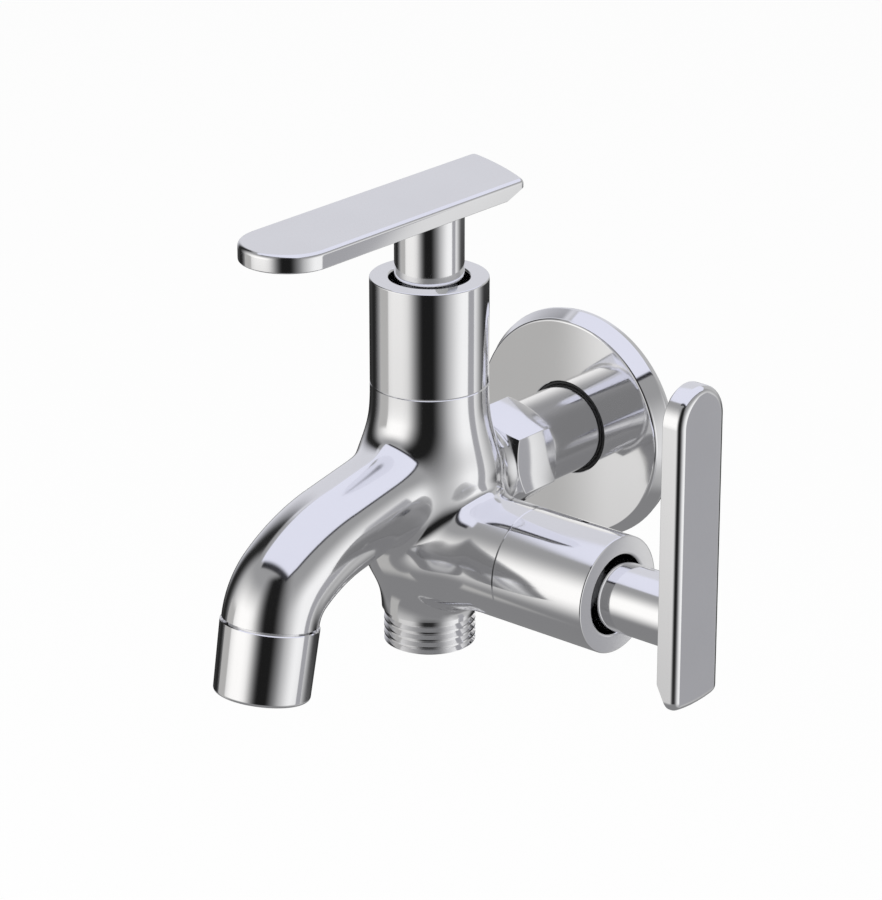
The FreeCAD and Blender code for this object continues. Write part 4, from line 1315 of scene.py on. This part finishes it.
@dataclass
class Lever:
    """Flat lever on its round stem: round tip, tail bevelled from below."""

    workshop: Workshop
    valve: Valve
    lift: float
    width: float
    tip: float
    tail: float
    skew: float
    thickness: float
    bevel_height: float
    corner: float
    edge: float
    bevel_length: float = 6.5
    bow: float = 0.8
    lower_edge: float = 0.35
    stem: float = 7.85
    stem_edge: float = 0.3
    foot: float = 14.6
    socket: float = 4.05
    socket_top: float = 32.5
    grub_radius: float = 2.0
    grub_height: float = 28.8

    def outline(self) -> list[Point]:
        """Draw the plate's outline: straight sides, round tip and a slightly bowed tail.

        Returns:
            Its corners, round the plate.
        """
        half = self.width / 2
        near, far = Vector((half, self.tail)), Vector((-half, self.tail + self.skew))
        run = far - near
        out = Vector((run.y, -run.x)).normalized()
        tail = [near + run * (step / 16) + out * self.bow * (1 - (step / 8 - 1) ** 2) for step in range(17)]
        for _ in range(2):
            tail = self._round_start(tail)[::-1]
        return [tuple(spot) for spot in tail] + arc((0.0, half - self.tip), half, 180, 360, 56)

    def _round_start(self, line: list[Vector]) -> list[Vector]:
        """Round the corner between the lever's side and the first run of the tail.

        Args:
            line: Points of the tail.

        Returns:
            The points with those of the rounded corner in front.
        """
        side, corner, ahead = Vector((0, -1)), line[0], (line[2] - line[0]).normalized()
        reach = self.corner * tan((pi - side.angle(ahead)) / 2)
        start, end = corner + side * reach, corner + ahead * reach
        rest = [spot for spot in line[1:] if (spot - corner).length > reach * 1.15]
        curve = [start * (1 - t) ** 2 + corner * (2 * t * (1 - t)) + end * t**2 for t in np.linspace(0, 1, 8)]
        return curve + rest

    def plate(self) -> Piece:
        """Extrude the outline, cut the bevel under the tail and round the edges.

        Returns:
            The plate, over the valve's axis.
        """
        low, top = self.lift + 1e-3, self.lift + self.thickness - 1e-3
        piece = draw("plate", [(x, y, self.lift) for x, y in self.outline()])
        bpy.ops.mesh.edge_face_add()
        bpy.ops.mesh.extrude_region_move(TRANSFORM_OT_translate={"value": (0, 0, self.thickness)})
        bpy.ops.mesh.select_all(action="SELECT")
        lean = atan(self.skew / self.width)
        along = Vector((sin(lean), cos(lean), 0))
        end = (self.tail + self.skew / 2) * cos(lean) + self.bow
        spot = along * (end - self.bevel_length) + Vector((0, 0, self.lift))
        normal = (along * self.bevel_height - Vector((0, 0, self.bevel_length))).normalized()
        bpy.ops.mesh.bisect(plane_co=spot, plane_no=normal, use_fill=True, clear_outer=True)
        bpy.ops.mesh.select_all(action="SELECT")
        bpy.ops.mesh.normals_make_consistent(inside=False)
        select(piece, Parts.EDGES, lambda a, b: a.z > top and b.z > top)
        bpy.ops.mesh.bevel(offset=self.edge, segments=8, profile=0.5, affect="EDGES", clamp_overlap=True)
        select(piece, Parts.EDGES, lambda a, b: a.z < low and b.z < low)
        bpy.ops.mesh.bevel(offset=self.lower_edge, segments=3, profile=0.5, affect="EDGES", clamp_overlap=True)
        bpy.ops.object.mode_set(mode="OBJECT")
        return piece

    def stem_piece(self) -> Piece:
        """Turn the stem with its socket, and drill the grub screw's hole.

        Returns:
            The stem, round the valve's axis.
        """
        top = self.lift + self.thickness / 2
        piece = lathe("stem", [
            (self.socket, self.foot), (self.stem - self.stem_edge, self.foot),
            (self.stem, self.foot + self.stem_edge), (self.stem, top), (0, top), (0, self.socket_top),
            (self.socket, self.socket_top)], Facets.STEM)
        drill = rod("drill", self.grub_radius, 1, 12, Facets.SCREW_HOLE)
        carve(piece, put(drill, Matrix.Translation((0, 0, self.grub_height)) @ ALONG_INLET))
        return piece

    def build(self) -> None:
        """Make the handle, keep it out of the chrome's reflections and stand it in for its node."""
        name = self.valve.value
        piece = join(f"{name}_lever", [self.plate(), self.stem_piece()])
        self.workshop.finish(piece, self.valve.place(), f"{name}_valve", f"{name}_handle", "chrome_handle")
        piece.visible_glossy = False


# ---- Studio, in metres ----


def stand_unseen(piece: Piece, name: str, material: Material) -> None:
    """Make a piece of the studio show in reflections only.

    Args:
        piece: The piece.
        name: Its name.
        material: Its material.
    """
    piece.name = name
    piece.data.materials.append(material)
    piece.visible_camera = False
    piece.visible_shadow = False
    piece.visible_diffuse = False


@dataclass(frozen=True)
class Panel:
    """A soft-edged bright or dark panel round the tap that shows only in its chrome, in degrees round and up.

    The echo is how strongly it shows in reflections of reflections.
    """

    name: str
    around: tuple[float, float]
    up: tuple[float, float]
    soft: tuple[float, float]
    tone: float
    radius: float
    tint: Colour = (1.0, 1.0, 1.0)
    echo: float = 1.0

    def build(self, middle: Vector) -> None:
        """Bend the panel round the tap.

        Args:
            middle: Middle of the studio.
        """
        start, end = self.around[0] - self.soft[0] / 2, self.around[1] + self.soft[0] / 2
        low, high = max(-89.0, self.up[0] - self.soft[1] / 2), min(89.0, self.up[1] + self.soft[1] / 2)
        deselect()
        bpy.ops.mesh.primitive_grid_add(x_subdivisions=max(4, int((end - start) / 4)),
                                        y_subdivisions=max(3, int((high - low) / 4)), size=2.0)
        piece = bpy.context.object
        for vertex in piece.data.vertices:
            turn = radians(start + (vertex.co.x + 1) / 2 * (end - start))
            rise = radians(low + (vertex.co.y + 1) / 2 * (high - low))
            vertex.co = middle + self.radius * Vector((cos(turn) * cos(rise), sin(turn) * cos(rise), sin(rise)))
        stand_unseen(piece, self.name, self.material(middle))

    def material(self, middle: Vector) -> Material:
        """Make an emission that fades out towards the panel's four edges.

        Args:
            middle: Middle of the studio.

        Returns:
            The material.
        """
        made = bpy.data.materials.new(self.name)
        board = Board(made)
        x, y, z = board.axes(board.place_from(middle))
        centre = radians(sum(self.around) / 2)
        turn = (y * cos(centre) - x * sin(centre)).degrees_from(x * cos(centre) + y * sin(centre))
        rise = z.degrees_from((x * x + y * y) ** 0.5) - sum(self.up) / 2
        mask = (board.fade(turn, self.around[1] - self.around[0], self.soft[0])
                * board.fade(rise, self.up[1] - self.up[0], self.soft[1]))
        if self.echo < 1.0:
            again = board.node("ShaderNodeLightPath", output="Glossy Depth").over(1.5)
            mask = mask * (1.0 - (1.0 - self.echo) * again)
        glow = board.glow(tuple(part * self.tone for part in self.tint))
        board.surface(board.mix(mask, board.clear(), glow))
        return made


@dataclass(frozen=True)
class Card:
    """Flat card or softbox with soft edges that shows only in the chrome, facing a way in degrees round and up."""

    name: str
    centre: tuple[float, float, float]
    facing: tuple[float, float]
    size: tuple[float, float]
    soft: tuple[float, float]
    colour: Colour

    def build(self, middle: Vector) -> None:
        """Hang the card.

        Args:
            middle: Middle of the studio.
        """
        deselect()
        bpy.ops.mesh.primitive_grid_add(x_subdivisions=12, y_subdivisions=12, size=1.0)
        piece = bpy.context.object
        around, up = (radians(angle) for angle in self.facing)
        turn = Matrix.Rotation(around + pi / 2, 4, "Z") @ Matrix.Rotation(pi / 2 - up, 4, "X")
        spread = Matrix.Diagonal((self.size[0] + self.soft[0], self.size[1] + self.soft[1], 1.0, 1.0))
        centre = middle + Vector(self.centre)
        put(piece, Matrix.Translation(centre) @ turn @ spread)
        made = bpy.data.materials.new(self.name)
        board = Board(made)
        spot = board.place_from(centre)
        fades = [
            board.fade(board.node("ShaderNodeVectorMath", {"operation": "DOT_PRODUCT"}, {0: spot, 1: tuple(axis)},
                                  "Value"), width, soft)
            for axis, width, soft in zip(turn.to_3x3().col, self.size, self.soft)
        ]
        board.surface(board.mix(fades[0] * fades[1], board.clear(), board.glow(self.colour)))
        stand_unseen(piece, self.name, made)


@dataclass(frozen=True)
class Tent:
    """Light tent round the tap: dim table below, lighter walls above."""

    radius: float = 3.0
    table: Colour = (0.235, 0.235, 0.24)
    wall: Colour = (0.34, 0.34, 0.345)
    table_edge: float = -36.0
    wall_edge: float = -20.0

    def build(self, middle: Vector) -> None:
        """Set the tent up, seen only in the chrome.

        Args:
            middle: Middle of the studio.
        """
        deselect()
        bpy.ops.mesh.primitive_uv_sphere_add(segments=48, ring_count=24, radius=self.radius, location=middle)
        piece = bpy.context.object
        bpy.ops.object.transform_apply(location=True, rotation=True, scale=True)
        made = bpy.data.materials.new("light_tent")
        board = Board(made)
        x, y, z = board.axes(board.place_from(middle))
        height = z.degrees_from((x * x + y * y) ** 0.5) / 180.0 + 0.5
        stops = [((angle + 90) / 180, tone) for angle, tone in (
            (-90, self.table), (self.table_edge, self.table), (self.wall_edge, self.wall), (90, self.wall))]
        board.surface(board.glow(board.ramp(height, stops)))
        stand_unseen(piece, "light_tent", made)


@dataclass(frozen=True)
class Lamp:
    """Large soft lamp that doesn't show in the chrome."""

    name: str
    spot: tuple[float, float, float]
    power: float
    size: float = 0.9

    def build(self, middle: Vector) -> None:
        """Hang the lamp and aim it.

        Args:
            middle: Middle of the studio.
        """
        deselect()
        bpy.ops.object.light_add(type="AREA", location=self.spot)
        lamp = bpy.context.object
        lamp.name = self.name
        lamp.data.size = self.size
        lamp.data.energy = self.power
        lamp.visible_glossy = False
        lamp.rotation_euler = (middle - Vector(self.spot)).to_track_quat("-Z", "Y").to_euler()


LAVENDER, CREAM = (0.93, 0.935, 1.0), (1.0, 0.99, 0.97)
LIGHTS = [
    Lamp("key_lamp", (-0.7, -0.9, 1.0), 8.0),
    Lamp("fill_lamp", (0.9, -0.4, 0.8), 4.0),
    Tent(),
    Panel("left_softbox", (-147, -82), (-24, 25), (52, 36), 1.1, 2.6, CREAM),
    Panel("right_softbox", (-4, 56), (-38, 12), (48, 34), 0.97, 2.55),
    Panel("right_table", (10, 78), (-52, -30), (30, 14), 0.5, 2.5),
    Panel("right_wall", (72, 110), (-6, 34), (14, 12), 0.5, 2.45),
    Panel("back_softbox", (108, 168), (-10, 52), (12, 10), 0.74, 2.4, LAVENDER),
    Panel("low_back_flag", (67, 172), (-31, -15), (34, 8), 0.025, 2.35, echo=0.0),
    Panel("back_left_flag", (160, 194), (-27, 45), (28, 6), 0.02, 2.3, echo=0.0),
    Panel("camera_flag", (-78, -28), (-29, 50), (34, 10), 0.012, 2.25, echo=0.35),
    Card("roof_frame", (0.25, 0.365, 1.02), (0, -90), (2.1, 1.67), (0.07, 0.07), (0.03, 0.03, 0.034)),
    Card("roof_softbox", (0.11, 0.465, 1.0), (0, -90), (1.94, 1.67), (0.12, 0.07), (0.8, 0.81, 0.93)),
    Card("lever_card", (0.2134, 0.1734, -0.091), (-130.5, 21.5), (0.08, 0.3), (0.012, 0.05), (0.38, 0.38, 0.4)),
    Card("flange_card", (-0.2674, -0.1598, -0.128), (49.5, 21.5), (0.13, 0.3), (0.02, 0.06), (0.47, 0.465, 0.455)),
]


@dataclass
class Studio:
    """Floor, background, lights and camera."""

    floor_height: float = -0.30
    floor_size: float = 16.0
    middle: tuple[float, float, float] = (0.02, -0.06, 0.0)
    eye: tuple[float, float, float] = (0.5412, -0.6853, 0.3363)
    azimuth: float = 40.49
    elevation: float = 21.51
    lens: float = 158.15

    def floor(self) -> None:
        """Lay a plain pale floor that keeps the shadow."""
        deselect()
        bpy.ops.mesh.primitive_grid_add(x_subdivisions=8, y_subdivisions=8, size=self.floor_size,
                                        location=(0, 0, self.floor_height))
        floor = bpy.context.object
        floor.name = "studio_floor"
        bpy.ops.object.transform_apply(location=True, rotation=True, scale=True)
        made = bpy.data.materials.new("pale_floor")
        board = Board(made)
        matt = board.node("ShaderNodeBsdfPrincipled", {}, {
            "Base Color": board.ramp(board.noise(3.0), shades((0.8, 0.8, 0.8), 0.985, 1.0)), "Roughness": 0.9,
            "Specular IOR Level": 0.0,
        })
        seen = board.node("ShaderNodeLightPath", output="Is Camera Ray")
        board.surface(board.mix(seen * 0.9, matt, board.glow((1.0, 1.0, 1.0))))
        floor.data.materials.append(made)
        floor.visible_glossy = False

    def world(self) -> None:
        """Make the background white where the camera or the chrome sees it."""
        world = bpy.context.scene.world or bpy.data.worlds.new("studio")
        bpy.context.scene.world = world
        board = Board(world)
        camera, glossy, through = (board.node("ShaderNodeLightPath", output=ray)
                                   for ray in ("Is Camera Ray", "Is Glossy Ray", "Is Transmission Ray"))
        strength = 0.9 + 0.1 * (camera + glossy + through).at_most(1.0)
        board.surface(board.node("ShaderNodeBackground", {}, {"Color": (1, 1, 1, 1), "Strength": strength}))

    def camera(self) -> None:
        """Stand the camera at the photograph's angle."""
        deselect()
        turn = Euler((radians(90 - self.elevation), 0, radians(self.azimuth)))
        bpy.ops.object.camera_add(location=self.eye, rotation=turn)
        camera = bpy.context.object
        camera.name = "photo_camera"
        camera.data.lens = self.lens
        camera.data.sensor_width = 36.0
        camera.data.sensor_fit = "AUTO"
        camera.data.clip_start = 0.05
        bpy.context.scene.camera = camera

    def build(self) -> None:
        """Set the whole studio up."""
        self.floor()
        self.world()
        for light in LIGHTS:
            light.build(Vector(self.middle))
        self.camera()
        bpy.context.scene.view_settings.view_transform = "Standard"


def corners(box: Iterable[Iterable[float]]) -> list[list[float]]:
    """Return a box as plain lists."""
    return [[float(part) for part in corner] for corner in box]


def main() -> None:
    """Build the tap and its studio in order."""
    logging.basicConfig(level=logging.INFO, format="%(name)s: %(message)s")
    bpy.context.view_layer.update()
    workshop = Workshop()
    workshop.dress_carried_nodes()
    Casting(workshop).build()
    Flange(workshop).build()
    Aerator(workshop).build()
    for valve in Valve:
        Sleeve(workshop, valve).build()
    Lever(workshop, Valve.TOP, lift=40.6, width=21.5, tip=56.7, tail=20.0, skew=8.2, thickness=4.1,
          bevel_height=2.5, corner=1.8, edge=1.6).build()
    Lever(workshop, Valve.SIDE, lift=41.8, width=15.8, tip=53.9, tail=19.2, skew=0.0, thickness=5.2,
          bevel_height=3.3, corner=2.4, edge=2.2).build()
    Studio().build()
    deselect()


if __name__ == "__main__":
    main()
